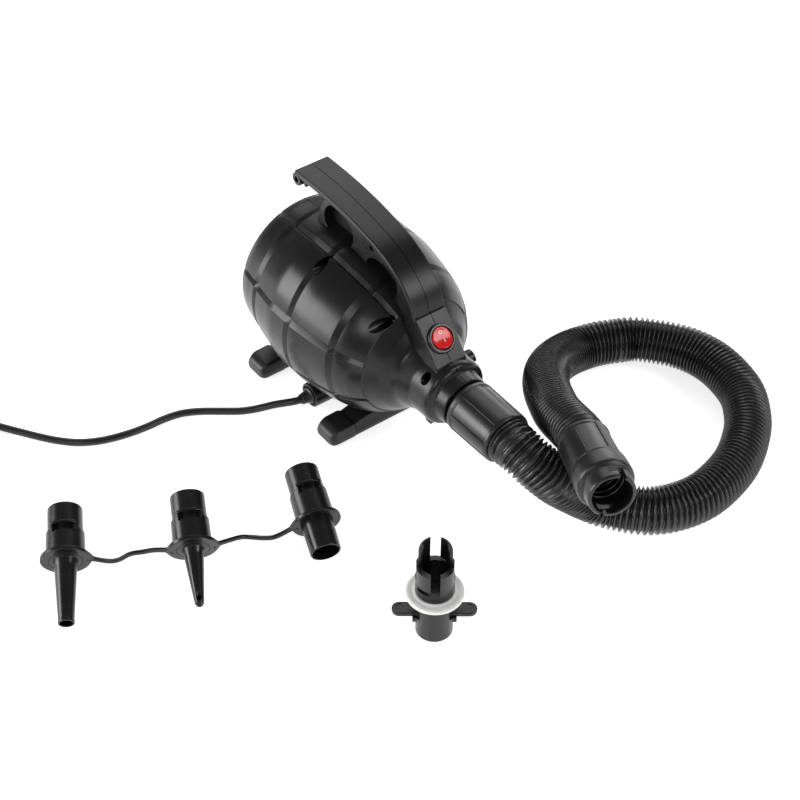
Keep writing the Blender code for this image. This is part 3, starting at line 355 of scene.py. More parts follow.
# ---- materials ----
class Shader:
    """A Principled material whose colour, roughness and bump are built up from procedural textures."""

    def __init__(self, name, rgb, rough, **sockets):
        self.mat = bpy.data.materials.new(name)
        self.mat.use_nodes = True
        self.tree = self.mat.node_tree
        self.bsdf = self.tree.nodes["Principled BSDF"]
        self.rgb = rgb
        self.bsdf.inputs["Base Color"].default_value = (*rgb, 1.0)
        self.bsdf.inputs["Roughness"].default_value = rough
        for key, value in sockets.items():
            self.bsdf.inputs[key.replace("_", " ")].default_value = value
        self.mat.diffuse_color = (*rgb, 1.0)
        self.coords = self.tree.nodes.new("ShaderNodeTexCoord").outputs["Object"]
        self.height = None

    def node(self, kind, **settings):
        new = self.tree.nodes.new(kind)
        for key, value in settings.items():
            setattr(new, key, value)
        return new

    def wire(self, source, target):
        self.tree.links.new(source, target)

    def noise(self, scale, detail=3.0, rough=0.55, stretch=None, distortion=0.0):
        node = self.node("ShaderNodeTexNoise")
        node.inputs["Scale"].default_value = scale
        node.inputs["Detail"].default_value = detail
        node.inputs["Roughness"].default_value = rough
        node.inputs["Distortion"].default_value = distortion
        source = self.coords
        if stretch:
            mapping = self.node("ShaderNodeMapping")
            mapping.inputs["Scale"].default_value = stretch
            self.wire(source, mapping.inputs["Vector"])
            source = mapping.outputs["Vector"]
        self.wire(source, node.inputs["Vector"])
        return node.outputs["Fac"]

    def wave(self, scale, direction, distortion=0.0):
        node = self.node("ShaderNodeTexWave", bands_direction=direction)
        node.inputs["Scale"].default_value = scale
        node.inputs["Distortion"].default_value = distortion
        self.wire(self.coords, node.inputs["Vector"])
        return node.outputs["Fac"]

    def band(self, value, lo, hi, to_lo, to_hi):
        node = self.node("ShaderNodeMapRange", interpolation_type="SMOOTHSTEP")
        for key, number in zip(("From Min", "From Max", "To Min", "To Max"), (lo, hi, to_lo, to_hi)):
            node.inputs[key].default_value = number
        self.wire(value, node.inputs["Value"])
        return node.outputs["Result"]

    def math(self, kind, a, b):
        node = self.node("ShaderNodeMath", operation=kind)
        for socket, value in zip(node.inputs, (a, b)):
            if isinstance(value, (int, float)):
                socket.default_value = value
            else:
                self.wire(value, socket)
        return node.outputs["Value"]

    def tint(self, factor, rgb):
        """Blend the colour so far towards another by a factor."""
        node = self.node("ShaderNodeMix", data_type="RGBA")
        self.wire(factor, node.inputs["Factor"])
        socket = self.bsdf.inputs["Base Color"]
        if socket.is_linked:
            self.wire(socket.links[0].from_socket, node.inputs["A"])
        else:
            node.inputs["A"].default_value = (*self.rgb, 1.0)
        node.inputs["B"].default_value = (*rgb, 1.0)
        self.wire(node.outputs["Result"], socket)
        return self

    def roughness(self, value):
        self.wire(value, self.bsdf.inputs["Roughness"])
        return self

    def bump(self, value, depth_mm, strength=1.0):
        node = self.node("ShaderNodeBump")
        node.inputs["Strength"].default_value = strength
        node.inputs["Distance"].default_value = depth_mm * MM
        self.wire(value, node.inputs["Height"])
        if self.height is not None:
            self.wire(self.height, node.inputs["Normal"])
        self.height = node.outputs["Normal"]
        self.wire(self.height, self.bsdf.inputs["Normal"])
        return self


def moulded(name, rgb, rough, grain=0.02, size=0.45, smudge=0.05, dust=0.07, **sockets):
    """Injection-moulded plastic: fine grain, handling smudges, a little dust and hairline scratches."""
    s = Shader(name, rgb, rough, **sockets)
    cloud = s.noise(38.0, 4.0, 0.6)
    fine = s.noise(1000.0 / size, 2.0, 0.6)
    patch = s.noise(9.0, 3.0, 0.5, distortion=0.4)
    hair = s.noise(60.0, 2.0, 0.5, stretch=(1.0, 26.0, 9.0))
    s.tint(s.band(cloud, 0.35, 0.75, 0.0, 0.35), tuple(c * 1.5 + 0.002 for c in rgb))
    s.tint(s.band(s.noise(430.0, 3.0, 0.7), 0.66, 0.8, 0.0, dust), tuple(c * 1.8 + 0.02 for c in rgb))
    rough_now = s.band(patch, 0.25, 0.75, rough - smudge, rough + smudge)
    rough_now = s.math("ADD", rough_now, s.band(hair, 0.66, 0.74, 0.0, 0.03))
    s.roughness(s.math("ADD", rough_now, s.band(cloud, 0.3, 0.8, -0.03, 0.03)))
    s.bump(fine, grain, 0.5)
    s.bump(s.noise(45.0, 2.0, 0.5), 0.05, 0.25)
    return s.mat


def metal(name, rgb, rough, stretch=(1.0, 40.0, 40.0), stain=0.3, **sockets):
    """Machined or drawn metal: fine lines along one way and light staining."""
    s = Shader(name, rgb, rough, Metallic=1.0, **sockets)
    lines = s.noise(40.0, 3.0, 0.6, stretch=stretch)
    s.tint(s.band(s.noise(80.0, 4.0, 0.6), 0.5, 0.75, 0.0, stain), tuple(c * 0.55 for c in rgb))
    s.roughness(s.band(lines, 0.3, 0.7, rough - 0.08, rough + 0.12))
    s.bump(lines, 0.02, 0.3)
    return s.mat


def wound(name, rgb, across):
    """Enamelled wire wound side by side."""
    s = Shader(name, rgb, 0.3, Metallic=0.85, Coat_Weight=0.5)
    wires = s.wave(380.0, across, 0.6)
    s.tint(s.band(wires, 0.0, 0.5, 0.7, 0.0), (0.16, 0.05, 0.02))
    s.roughness(s.band(s.noise(150.0), 0.3, 0.7, 0.24, 0.4))
    s.bump(wires, 0.25, 0.9)
    return s.mat


def laminated(name):
    """Edges of stacked steel sheets."""
    s = Shader(name, (0.3, 0.3, 0.31), 0.45, Metallic=0.9)
    sheets = s.wave(310.0, "X")
    s.tint(s.band(sheets, 0.0, 0.35, 0.8, 0.0), (0.05, 0.05, 0.055))
    s.tint(s.band(s.noise(60.0, 4.0), 0.55, 0.75, 0.0, 0.4), (0.2, 0.12, 0.08))
    s.roughness(s.band(s.noise(200.0), 0.3, 0.7, 0.36, 0.56))
    s.bump(sheets, 0.12, 0.8)
    return s.mat


def ribbed_plastic(name, rgb, rough, **sockets):
    """Blow-moulded hose plastic: satin, with soft streaks along the tube and rubbed high spots."""
    s = Shader(name, rgb, rough, **sockets)
    s.tint(s.band(s.noise(55.0, 4.0, 0.6), 0.4, 0.8, 0.0, 0.4), tuple(c * 1.7 for c in rgb))
    s.roughness(s.math("ADD", s.band(s.noise(24.0, 3.0), 0.25, 0.75, rough - 0.06, rough + 0.08),
                       s.band(s.noise(700.0, 2.0), 0.4, 0.8, 0.0, 0.05)))
    s.bump(s.noise(900.0, 2.0, 0.6), 0.012, 0.5)
    return s.mat


def mottled(name, rgb, rough, spots, shine, grain=None, **sockets):
    """Plain material with spots of another colour (scale, lo, hi, share, colour), patches of other
    roughness (scale, least, most) and a fine grain (scale, depth, strength)."""
    s = Shader(name, rgb, rough, **sockets)
    scale, lo, hi, share, other = spots
    s.tint(s.band(s.noise(scale), lo, hi, 0.0, share), other)
    s.roughness(s.band(s.noise(shine[0]), 0.3, 0.7, *shine[1:]))
    if grain:
        s.bump(s.noise(grain[0], 2.0), *grain[1:])
    return s.mat


MATS = {
    "housing_plastic": moulded("housing_plastic", (0.006, 0.0062, 0.0066), 0.3, grain=0.012, size=0.5,
                                Specular_IOR_Level=0.36),
    "soft_rubber": moulded("soft_rubber", (0.006, 0.006, 0.0064), 0.42, grain=0.04, size=0.6, dust=0.12),
    "switch_black": moulded("switch_black", (0.008, 0.008, 0.009), 0.24, grain=0.006, smudge=0.04),
    "switch_red": mottled("switch_red", (0.66, 0.008, 0.01), 0.3,
                          (260.0, 0.4, 0.75, 0.35, (0.5, 0.004, 0.008)), (70.0, 0.12, 0.22),
                          (900.0, 0.006, 0.3), Coat_Weight=0.05, Coat_Roughness=0.08,
                          Subsurface_Weight=0.1, Subsurface_Scale=0.002),
    "hose_plastic": ribbed_plastic("hose_plastic", (0.016, 0.016, 0.0165), 0.24),
    "connector_grey": moulded("connector_grey", (0.007, 0.007, 0.0074), 0.32, grain=0.02),
    "nozzle_plastic": moulded("nozzle_plastic", (0.0055, 0.0055, 0.0058), 0.27, grain=0.006, smudge=0.04,
                               Specular_IOR_Level=0.4),
    "white_silicone": mottled("white_silicone", (0.74, 0.74, 0.73), 0.42,
                              (90.0, 0.45, 0.8, 0.3, (0.64, 0.64, 0.63)), (60.0, 0.36, 0.5),
                              (1400.0, 0.01, 0.4), Subsurface_Weight=0.35, Subsurface_Scale=0.004,
                              Subsurface_Radius=(1.0, 0.9, 0.8), Coat_Weight=0.15),
    "cord_pvc": moulded("cord_pvc", (0.0055, 0.0055, 0.0058), 0.33, grain=0.015, size=0.8, smudge=0.06),
    "zinc_steel": metal("zinc_steel", (0.6, 0.58, 0.52), 0.34),
    "steel": metal("steel", (0.55, 0.55, 0.56), 0.26),
    "lamination": laminated("lamination"),
    "copper": wound("copper", (0.7, 0.31, 0.14), "Z"),
    "brass": metal("brass", (0.72, 0.54, 0.24), 0.26),
    "carbon": moulded("carbon", (0.03, 0.03, 0.03), 0.62, grain=0.05),
    "motor_nylon": moulded("motor_nylon", (0.42, 0.4, 0.34), 0.46, grain=0.03, dust=0.1),
    "fan_grey": moulded("fan_grey", (0.16, 0.165, 0.18), 0.4, grain=0.03),
    "print_white": mottled("print_white", (0.85, 0.85, 0.83), 0.5,
                           (1500.0, 0.5, 0.8, 0.5, (0.6, 0.58, 0.56)), (300.0, 0.42, 0.6)),
}


# ---- camera, light and floor ----
def make_camera():
    look_at = Vector((-1.0, 10.0, 0.0)) * MM
    azimuth, elevation, roll = (math.radians(d) for d in (VIEW_AZIMUTH, 43.0, 0.24))
    back = Vector((math.sin(azimuth) * math.cos(elevation), -math.cos(azimuth) * math.cos(elevation),
                   math.sin(elevation)))
    right = Vector((math.cos(azimuth), math.sin(azimuth), 0.0))
    up = back.cross(right)
    across = right * math.cos(roll) + up * math.sin(roll)
    upright = up * math.cos(roll) - right * math.sin(roll)
    data = bpy.data.cameras.new("camera")
    data.sensor_width = 36.0
    data.lens = 84.825
    data.clip_start, data.clip_end = 0.05, 20.0
    cam = linked("camera", data)
    m = Matrix((across, upright, back)).transposed().to_4x4()
    m.translation = look_at + back * 1.5
    cam.matrix_world = m
    bpy.context.scene.camera = cam


def soft_light(name, at, size, power, target=(0.05, 0.0, 0.07)):
    data = bpy.data.lights.new(name, "AREA")
    data.shape = "RECTANGLE"
    data.size, data.size_y = size
    data.energy = power
    ob = linked(name, data)
    ob.location = at
    ob.rotation_mode = "QUATERNION"
    ob.rotation_quaternion = (Vector(target) - Vector(at)).to_track_quat("-Z", "Y")


def make_stage():
    """Pale floor and soft lights; the world is white to the camera and dimmer as a light."""
    floor = skin("floor", [[(-4000, -4000, z), (4000, -4000, z), (4000, 4000, z), (-4000, 4000, z)]
                           for z in (-30.0, 0.0)])
    floor.data.materials.append(mottled(
        "floor_matt", (0.93, 0.93, 0.93), 0.8, (1.5, 0.4, 0.7, 0.3, (0.91, 0.91, 0.915)), (6.0, 0.65, 0.78),
        (500.0, 0.02, 0.2), Specular_IOR_Level=0.05, Emission_Strength=0.72,
        Emission_Color=(1.0, 1.0, 1.0, 1.0)))
    world = bpy.data.worlds.new("studio")
    bpy.context.scene.world = world
    world.use_nodes = True
    background = world.node_tree.nodes["Background"]
    background.inputs["Color"].default_value = (1.0, 1.0, 1.0, 1.0)
    path = world.node_tree.nodes.new("ShaderNodeLightPath")
    strength = world.node_tree.nodes.new("ShaderNodeMapRange")
    strength.inputs["To Min"].default_value = 0.2
    strength.inputs["To Max"].default_value = 1.0
    world.node_tree.links.new(path.outputs["Is Camera Ray"], strength.inputs["Value"])
    world.node_tree.links.new(strength.outputs["Result"], background.inputs["Strength"])
    soft_light("left", (-1.0, -1.9, 0.6), (1.7, 1.0), 44.0)
    soft_light("front", (1.0, -1.7, 1.5), (0.7, 0.7), 9.0)
    soft_light("panel", (1.4, 0.95, 1.35), (0.8, 0.8), 12.0)
    soft_light("back", (-0.9, 1.9, 0.8), (1.8, 0.6), 12.0)
    soft_light("right", (1.9, 0.3, 0.4), (0.5, 1.0), 8.0)
    soft_light("high", (-1.2, 0.95, 1.5), (1.9, 1.5), 15.0)
    bpy.context.scene.view_settings.view_transform = "Standard"


# ---- cords ----
def frames_along(line, reach=1):
    """Unit tangent and two steady cross vectors at each point of a line."""
    out, ref = [], Vector((0, 0, 1))
    for i in range(len(line)):
        t = (line[min(i + reach, len(line) - 1)] - line[max(i - reach, 0)]).normalized()
        u = (ref - t * ref.dot(t)).normalized()
        ref = u
        out.append((t, u, t.cross(u)))
    return out


def hose_route(step):
    line = [Vector(HOSE_PATH[0])] + spline(HOSE_PATH[1:-1], 60) + [Vector(HOSE_PATH[-1])]
    return even(line, step)


# Distance along the hose and the distance between its ribs there.  In the photo they measure 3.0 to
# 3.85 apart, and less next to the connector; they are built wider so that they show.
RIB_PITCH = [(0.0, 3.9), (440.0, 3.9), (664.0, 3.8)]
RIB_SHARP = 1.2
RINGS_PER_RIB = 8
HOSE_BORE_R = 13.9


def build_hose():
    """Corrugated tube: rings along the route whose radius follows a helical rib."""
    route, fine = hose_route(6.0), hose_route(0.25)
    total = length_of(fine)
    step = total / (len(fine) - 1)
    pitch_at = linear(RIB_PITCH)
    seg = 44
    rings = []
    deck = []
    s = phase = 0.0
    while s < total:
        deck.append((s, phase))
        s += pitch_at(s) / RINGS_PER_RIB
        phase += 1.0 / RINGS_PER_RIB
    deck.append((total, phase))
    line = []
    for s, _ in deck:
        k = min(int(s / step), len(fine) - 2)
        line.append(fine[k].lerp(fine[k + 1], s / step - k))
    frames = frames_along(line, 4)
    for (s, phase), p, (_, u, w) in zip(deck, line, frames):
        deep = (1.1 + 0.5 * pitch_at(s)) * min(1.0, s / 2.0, (total - s) / 2.0)
        ring = []
        for k, (ca, sa) in enumerate(around(seg)):
            crest = 1.0 - (0.5 - 0.5 * math.cos(2 * math.pi * (phase + k / seg))) ** RIB_SHARP
            ring.append(p + (u * ca + w * sa) * (HOSE_R - deep * (1.0 - crest)))
        rings.append(ring)
    bore = list(zip(line, frames))
    inner = [circle(p, u, w, HOSE_BORE_R, seg) for p, (_, u, w) in bore[::16] + [bore[-1]]]
    hose = skin("hose_corrugated", rings + inner[::-1], loop=True)
    piece(hose, "hose_plastic", "pump", "hose", angle=75.0, weighted=False)
    return hose, route, total


def panelled(name, origin, axis, stations, bore, bays, turn=0.0, sunk=0.8):
    """Sleeve with sunk panels; stations hold (distance, radius, share of sunk), bays (count, degrees)."""
    a, u, w = frame_of(axis)
    o = Vector(origin)
    half, ramp = bays[1] / 2.0, 1.6
    degs = sorted({round(d * 2.0, 3) for d in range(180)}
                  | {round((360.0 / bays[0] * k + turn + e) % 360.0, 3) for k in range(bays[0])
                     for e in (-half - ramp, -half, half, half + ramp)})
    spokes = [u * math.cos(math.radians(d)) + w * math.sin(math.radians(d)) for d in degs]
    rings = []
    for t, r, share in stations:
        ring = []
        for d, spoke in zip(degs, spokes):
            off = abs((d - turn + 180.0 / bays[0]) % (360.0 / bays[0]) - 180.0 / bays[0])
            dip = min(max((half + ramp - off) / ramp, 0.0), 1.0) * sunk * share
            ring.append(o + a * t + spoke * (r - dip))
        rings.append(ring)
    for t, r in bore:
        rings.append([o + a * t + spoke * r for spoke in spokes])
    return skin(name, rings, loop=True)


def build_connector():
    """Free end of the hose: panelled sleeve, collar and a mouth with two L-shaped bayonet slots."""
    d = Vector(CONNECTOR_AXIS).normalized()
    start = Vector(HOSE_PATH[-1]) + d * 0.5
    stations = [(0.0, 17.6, 0), (0.2, 18.5, 0), (0.9, 19.3, 0), (1.8, 19.7, 0), (3.2, 19.8, 0),
                (3.7, 19.8, 0), (4.5, 19.85, 1), (34.2, 20.1, 1), (35.0, 20.1, 0), (36.2, 20.1, 0),
                (36.6, 19.7, 0), (37.2, 19.7, 0), (37.6, 20.4, 0), (38.6, 20.7, 0), (42.0, 21.0, 0),
                (49.5, 21.1, 0), (51.6, 21.0, 0), (52.9, 20.5, 0), (53.6, 19.6, 0), (53.9, 18.6, 0),
                (54.4, 18.1, 0), (64.4, 17.6, 0), (65.6, 17.4, 0), (66.3, 16.9, 0), (66.6, 16.3, 0)]
    bore = [(66.6, 15.3), (66.2, 14.8), (65.6, 14.6)]
    for t in (48.0, 42.4, 36.8):
        bore += [(t + 0.6, 14.5), (t, 13.7), (t - 0.8, 13.7), (t - 1.4, 14.5)]
    bore += [(0.2, 14.5), (0.0, 14.8)]
    con = panelled("hose_connector_shell", start, d, stations, bore, (5, 44.0), turn=20.0)
    for k in range(2):
        at = place(start, d, 180.0 * k - 25.0)
        cut(con, moved(block("slot", (56.6, -2.6, 10.0), (70.0, 2.6, 22.0), 0.3), at),
            moved(block("slot", (56.6, -9.0, 10.0), (61.2, 2.4, 22.0), 0.3), at))
    return piece(con, "connector_grey", "pump", "hose_end_connector")


def build_cuff():
    """Sleeve that plugs the hose into the outlet, with a stub inside the housing."""
    x1 = CUFF_X1 - CUFF_X0
    stations = [(0.0, 18.4, 0), (0.2, 19.4, 0), (1.2, 20.7, 0), (2.0, 21.1, 0), (3.6, 21.3, 0),
                (4.6, 21.3, 0), (5.2, 20.9, 0), (5.8, 20.9, 0), (6.4, 21.2, 1),
                (x1 - 4.0, 20.75, 1), (x1 - 3.2, 20.7, 0), (x1 - 1.4, 20.6, 0), (x1 - 0.5, 20.2, 0),
                (x1 - 0.05, 19.6, 0), (x1, 19.0, 0)]
    bore = [(x1, 17.0), (x1 - 0.5, 16.4), (6.0, 16.2), (5.4, 14.8), (-7.4, 14.7), (-8.0, 15.2), (-8.0, 16.4),
            (-7.2, 17.0), (-0.1, 17.0)]
    cuff = panelled("cuff_shell", (CUFF_X0, 0.0, OUTLET_Z), (1, 0, 0), stations, bore, (8, 33.0), turn=12.0,
                    sunk=0.7)
    return piece(cuff, "connector_grey", "cuff", "hose_cuff")


def coil_route():
    """The unseen length: three turns up on the inside, then two and a bit down on the outside."""
    cx, cy = COIL_AT
    start, up, down, lift = 119.9, 3.0, 2.36, 6.1
    pts = []
    for k in range(1, int((up + down) * 24) + 1):
        n = k / 24.0
        if n <= up:
            r, z = 29.9, 3.1 + lift * n
        else:
            r, z = 29.9 + 6.1 * min((n - up) / 0.3, 1.0), 3.1 + lift * (2 * up - n)
        a = math.radians(start + 360.0 * n)
        pts.append((cx + r * math.cos(a), cy + r * math.sin(a), z))
    return [(-209.0, -288.4, 3.1)] + pts + [(-198.6, -352.4, 6.1), (-191.4, -355.8, 7.0),
                                            (-186.0, -358.4, 8.6), (-182.0, -359.7, 9.2)]


def build_cord():
    """Round lead along its whole route, seen and coiled."""
    route = even(spline(CORD_PATH + coil_route(), 8), 3.0)
    cu = bpy.data.curves.new("mains_lead", "CURVE")
    cu.dimensions = "3D"
    cu.bevel_depth = CORD_R * MM
    cu.bevel_resolution = 5
    cu.use_fill_caps = True
    sp = cu.splines.new("POLY")
    sp.points.add(len(route) - 1)
    for pt, p in zip(sp.points, route):
        pt.co = (*(p * MM), 1.0)
    sp.use_smooth = True
    ob = linked("mains_lead", cu)
    piece(ob, "cord_pvc", "pump", "mains_cord", "mains_cord_coil")
    return ob, route


def build_tie():
    """Hook tape wrapped round the coil."""
    cx, cy = COIL_AT
    a = math.radians(200.0)
    out, side = Vector((math.cos(a), math.sin(a), 0)), Vector((-math.sin(a), math.cos(a), 0))
    c = Vector((cx, cy, 12.3)) + out * 33.0
    outer = soften([(-6.9, -12.2), (6.9, -12.2), (6.9, 12.2), (-6.9, 12.2)], 2.6, 5)
    inner = soften([(-6.2, -11.5), (6.2, -11.5), (6.2, 11.5), (-6.2, 11.5)], 2.2, 5)
    rings = []
    for outline, w in ((outer, -4.6), (outer, 4.6), (inner, 4.6), (inner, -4.6)):
        rings.append([c + out * p + Vector((0, 0, q)) + side * w for p, q in outline])
    tie = bevelled(skin("lead_tie", rings, loop=True), 0.2, 2, 50.0)
    return piece(tie, "soft_rubber", "pump")


def build_relief():
    """Flexible sleeve in the gland, following the lead, with slots that let it bend."""
    middle = [(GLAND_X, y, GLAND_Z) for y in (-21.1, -36.0, -49.0, -54.0)]
    middle += [(GLAND_X, -57.5, 13.38), (-36.55, -61.1, 13.25)]
    line = even(spline(middle, 8), 0.5)
    frames = frames_along(line)
    radius = monotone([(0.0, 4.3), (0.6, 4.6), (28.6, 4.6), (29.2, 6.6), (29.8, 7.0), (31.9, 7.0),
                       (32.6, 6.4), (33.2, 5.5), (38.6, 4.5), (39.6, 4.3), (40.4, 3.5)])
    rings = []
    for i, (p, (_, u, w)) in enumerate(zip(line, frames)):
        s = 0.5 * i
        slotted = s > 33.6 and int(s - 33.6) % 2
        rings.append(circle(p, u, w, radius(s) - (0.35 if slotted else 0.0), 36))
    for end in (-1, 0):
        _, u, w = frames[end]
        rings.append(circle(line[end], u, w, 3.15, 36))
    return piece(skin("relief_sleeve", rings, loop=True), "soft_rubber", "pump", "cord_strain_relief",
                 angle=50.0)


def build_plug():
    """Generic two-pin mains plug with a ribbed grip."""
    o = Vector(PLUG_AT)
    d = Vector((0.995, -0.1, 0.0)).normalized()
    side = Vector((0, 0, 1)).cross(d)
    width = monotone([(0.0, 3.4), (14.0, 4.2), (16.0, 6.3), (22.0, 11.8), (30.0, 15.8), (40.0, 17.2),
                      (44.2, 17.3), (45.5, 16.0)])
    height = monotone([(0.0, 3.3), (14.0, 4.0), (16.0, 5.2), (22.0, 7.2), (30.0, 8.0), (40.0, 8.4),
                       (44.2, 8.4), (45.5, 7.4)])
    rings = []
    for i in range(92):
        t = 0.5 * i
        rib = 0.35 if t < 13.0 and i % 4 < 2 and i > 1 else 0.0
        rib += 0.45 if 24.0 < t < 38.0 and i % 5 < 2 else 0.0
        ring = []
        for c, s in around(56):
            ring.append(o + d * t + side * ((width(t) - rib) * math.copysign(abs(c) ** 0.7, c))
                        + Vector((0, 0, (height(t) - rib * 0.5) * math.copysign(abs(s) ** 0.7, s))))
        rings.append(ring)
    body = skin("plug_shell", rings)
    for s in (-9.5, 9.5):
        cut(body, rod("seat", o + d * 36.0 + side * s, o + d * 60.0 + side * s, 2.25))
    piece(body, "cord_pvc", "pump", "plug_body")
    pins = []
    for n, s in enumerate((-9.5, 9.5)):
        shape = [(0.0, 0.0), (0.0, 2.0), (26.8, 2.0), (28.4, 1.1), (28.5, 0.0)]
        pin = turned("plug_pin_turned_%d" % (n + 1), shape, o + d * 36.4 + side * s, d, 40, 0.5)
        pins.append(piece(pin, "brass", "pump", "plug_pin_%d" % (n + 1)))
    return [body] + pins


def build_cords():
    hose, route, total = build_hose()
    connector = build_connector()
    lead, line = build_cord()
    others = [build_relief(), build_tie()] + build_plug()


# ---- housing ----
def barrel_radius(x):
    return BARREL_AT(x) if x <= BARREL[-1][0] else FRONT_AT(x)


BARREL_AT = monotone(BARREL)
FRONT_AT = linear([BARREL[-1]] + soften(FRONT, 1.3, 4, loop=False))


def centre_z(x):
    t = min(max((x - 28.0) / 24.0, 0.0), 1.0)
    return BARREL_Z + (OUTLET_Z - BARREL_Z) * t * t * (3 - 2 * t)


def sharp_groove(x, deg):
    """Depth of the moulded grooves: a steep front or inner wall and a sloping flank."""
    if x > BARREL[-1][0] or x < -116.0:
        return 0.0
    d = 0.0
    for gx in GROOVES_X:
        if gx - GROOVE_W <= x <= gx:
            d = max(d, GROOVE_D * min((x - gx + GROOVE_W) / (GROOVE_W - 0.5), (gx - x) / 0.5))
    side = deg if deg <= 90.0 else 180.0 - deg
    for g, w in GROOVES_DEG:
        u = (side - g) / w
        if 0.0 <= u <= 1.0:
            d = max(d, GROOVE_D * min(u / 0.09, (1.0 - u) / 0.91))
    return d


def groove(x, deg):
    """The same with its edges slightly rounded, and the fine parting line near the rear rim."""
    near = [(x + a * 0.14, deg + b * 0.11) for a in (-1, 0, 1) for b in (-1, 0, 1)]
    line = 0.35 * max(0.0, 1.0 - abs(x + 111.6) / 0.45)
    return sum(sharp_groove(*p) for p in near) / 9.0 + line


def grid_lines():
    """Stations along the barrel and angles round it, close together at the groove edges."""
    x0, x1, step = BARREL[0][0], BARREL[-1][0], 1.7
    xs = {round(x0 + step * k, 3) for k in range(int((x1 - x0) / step) + 1)} | {x1}
    xs |= {x for x, _ in BARREL} | {-118.2, -117.9, -112.2, -111.9, -111.6, -111.3, -111.0}
    for gx in GROOVES_X:
        xs |= {gx + e for e in (-6.5, -6.2, -6.0, -5.8, -5.4, -0.8, -0.6, -0.5, -0.35, -0.15, 0.0, 0.2, 0.5)}
    xs = sorted(xs)
    xs = [x for x, y in zip(xs, xs[1:] + [99.0]) if y - x > 0.08]
    xs += [x for x, _ in soften(FRONT, 1.3, 4, loop=False)]
    half = {-90.0 + 3.0 * k for k in range(61)}
    for g, w in GROOVES_DEG:
        near = min(w, 0.0), max(w, 0.0)
        half = {d for d in half if not g + near[0] - 0.6 < d < g + near[1] + 0.6}
        half |= {g + w * f for f in (-0.09, 0.0, 0.05, 0.09, 0.13, 0.5, 0.95, 1.0, 1.06)}
    half = sorted(half)
    return xs, half + [180.0 - d for d in reversed(half[1:-1])]


def ring_at(x, degs):
    out = []
    for d in degs:
        r = barrel_radius(x) - groove(x, d)
        out.append((x, r * math.cos(math.radians(d)), centre_z(x) + r * math.sin(math.radians(d))))
    return out


def handle_bar():
    """Grip with rounded edges whose top follows HANDLE: x, z and half width."""
    line = even(spline(HANDLE, 10), 2.6)
    rings = []
    for i, p in enumerate(line):
        a, b = line[max(i - 1, 0)], line[min(i + 1, len(line) - 1)]
        t = Vector((b.x - a.x, b.y - a.y)).normalized()
        w = p.z
        outline = soften([(-w, -5.0), (-w, 0.0), (w, 0.0), (w, -5.0)], 1.5, 4)
        rings.append([(p.x - t.y * d, y, p.y + t.x * d) for y, d in outline])
    return bevelled(skin("handle", rings), 0.8, 3, 70.0)


def web():
    """Wall under the grip, with two finger pockets sunk in either side."""
    line = even(spline(HANDLE, 10), 3.0)
    top = [(p.x - 0.8, p.y - 2.4) for p in line if p.x > -66.0]
    back = spline([(-71.0, 131.0, 0), (-76.0, 142.0, 0), (-74.5, 152.0, 0), (-71.0, 160.0, 0),
                   (-66.8, 167.5, 0), (-65.5, 174.0, 0)], 6)
    outline = [(p.x, p.y) for p in back] + top + [(44.0, 116.0), (30.0, 98.0), (0.0, 112.0), (-40.0, 126.0)]
    ob = prism("web", outline, -12.6, 12.6)
    one = [(-66.0, 148.2), (-67.0, 155.0), (-64.5, 162.0), (-60.0, 167.0), (-53.0, 169.2), (-42.0, 168.2),
           (-34.0, 164.6), (-30.6, 158.0), (-31.5, 149.0), (-36.0, 143.0), (-46.0, 140.6), (-58.0, 142.0)]
    two = [(-14.0, 136.5), (-13.0, 144.0), (-8.8, 149.6), (-2.0, 152.8), (8.0, 154.2), (17.0, 152.8),
           (22.8, 147.0), (24.0, 139.0), (21.0, 131.0), (12.0, 127.0), (0.0, 127.6), (-9.0, 130.6)]
    for y0, y1 in ((-15.0, -4.2), (4.2, 15.0)):
        holes = []
        for pts in (one, two):
            loop = spline([(x, z, 0) for x, z in pts + [pts[0]]], 5)[:-1]
            holes.append(prism("finger", [(p.x, p.y) for p in loop], y0, y1))
        cut(ob, together(*holes))
    return bevelled(ob, 0.9, 2, 55.0)


def wedge():
    """Sloping block that carries the switch panel."""
    side = [PANEL_TOP, PANEL_LOW, (75.6, 96.5), (75.6, 88.0), (60.0, 84.0), (44.0, 90.0), (30.0, 104.0),
            (33.0, 116.0), (40.0, 127.5), (44.0, 131.0)]
    return prism("wedge", soften(side, 0.8, 2), -13.8, 13.8, 0.8)


def panel_frame():
    """Middle of the switch panel, its outward normal and its downhill direction."""
    a, b = Vector((PANEL_TOP[0], 0, PANEL_TOP[1])), Vector((PANEL_LOW[0], 0, PANEL_LOW[1]))
    down = (b - a).normalized()
    return a.lerp(b, 0.5), Vector((-down.z, 0, down.x)), down


def turned_body(name, profile, seg=96, shrink=0.0):
    """Turned solid about the barrel's axis, which drops a little towards the outlet."""
    return skin(name, [[(x, (r - shrink) * c, centre_z(x) + (r - shrink) * s) for c, s in around(seg, 0.5)]
                       for x, r in profile])


def at_screws(name, big_y, small_y, big_r, small_r, segs):
    """Rods along Y at every screw; a big radius of None is the well's own."""
    big = [rod(name, (x, big_y[0], z), (x, big_y[1], z), big_r or r, segs[0]) for x, z, r in WELLS]
    return big + [rod(name, (x, small_y[0], z), (x, small_y[1], z), small_r, segs[1]) for x, z in SMALL_WELLS]


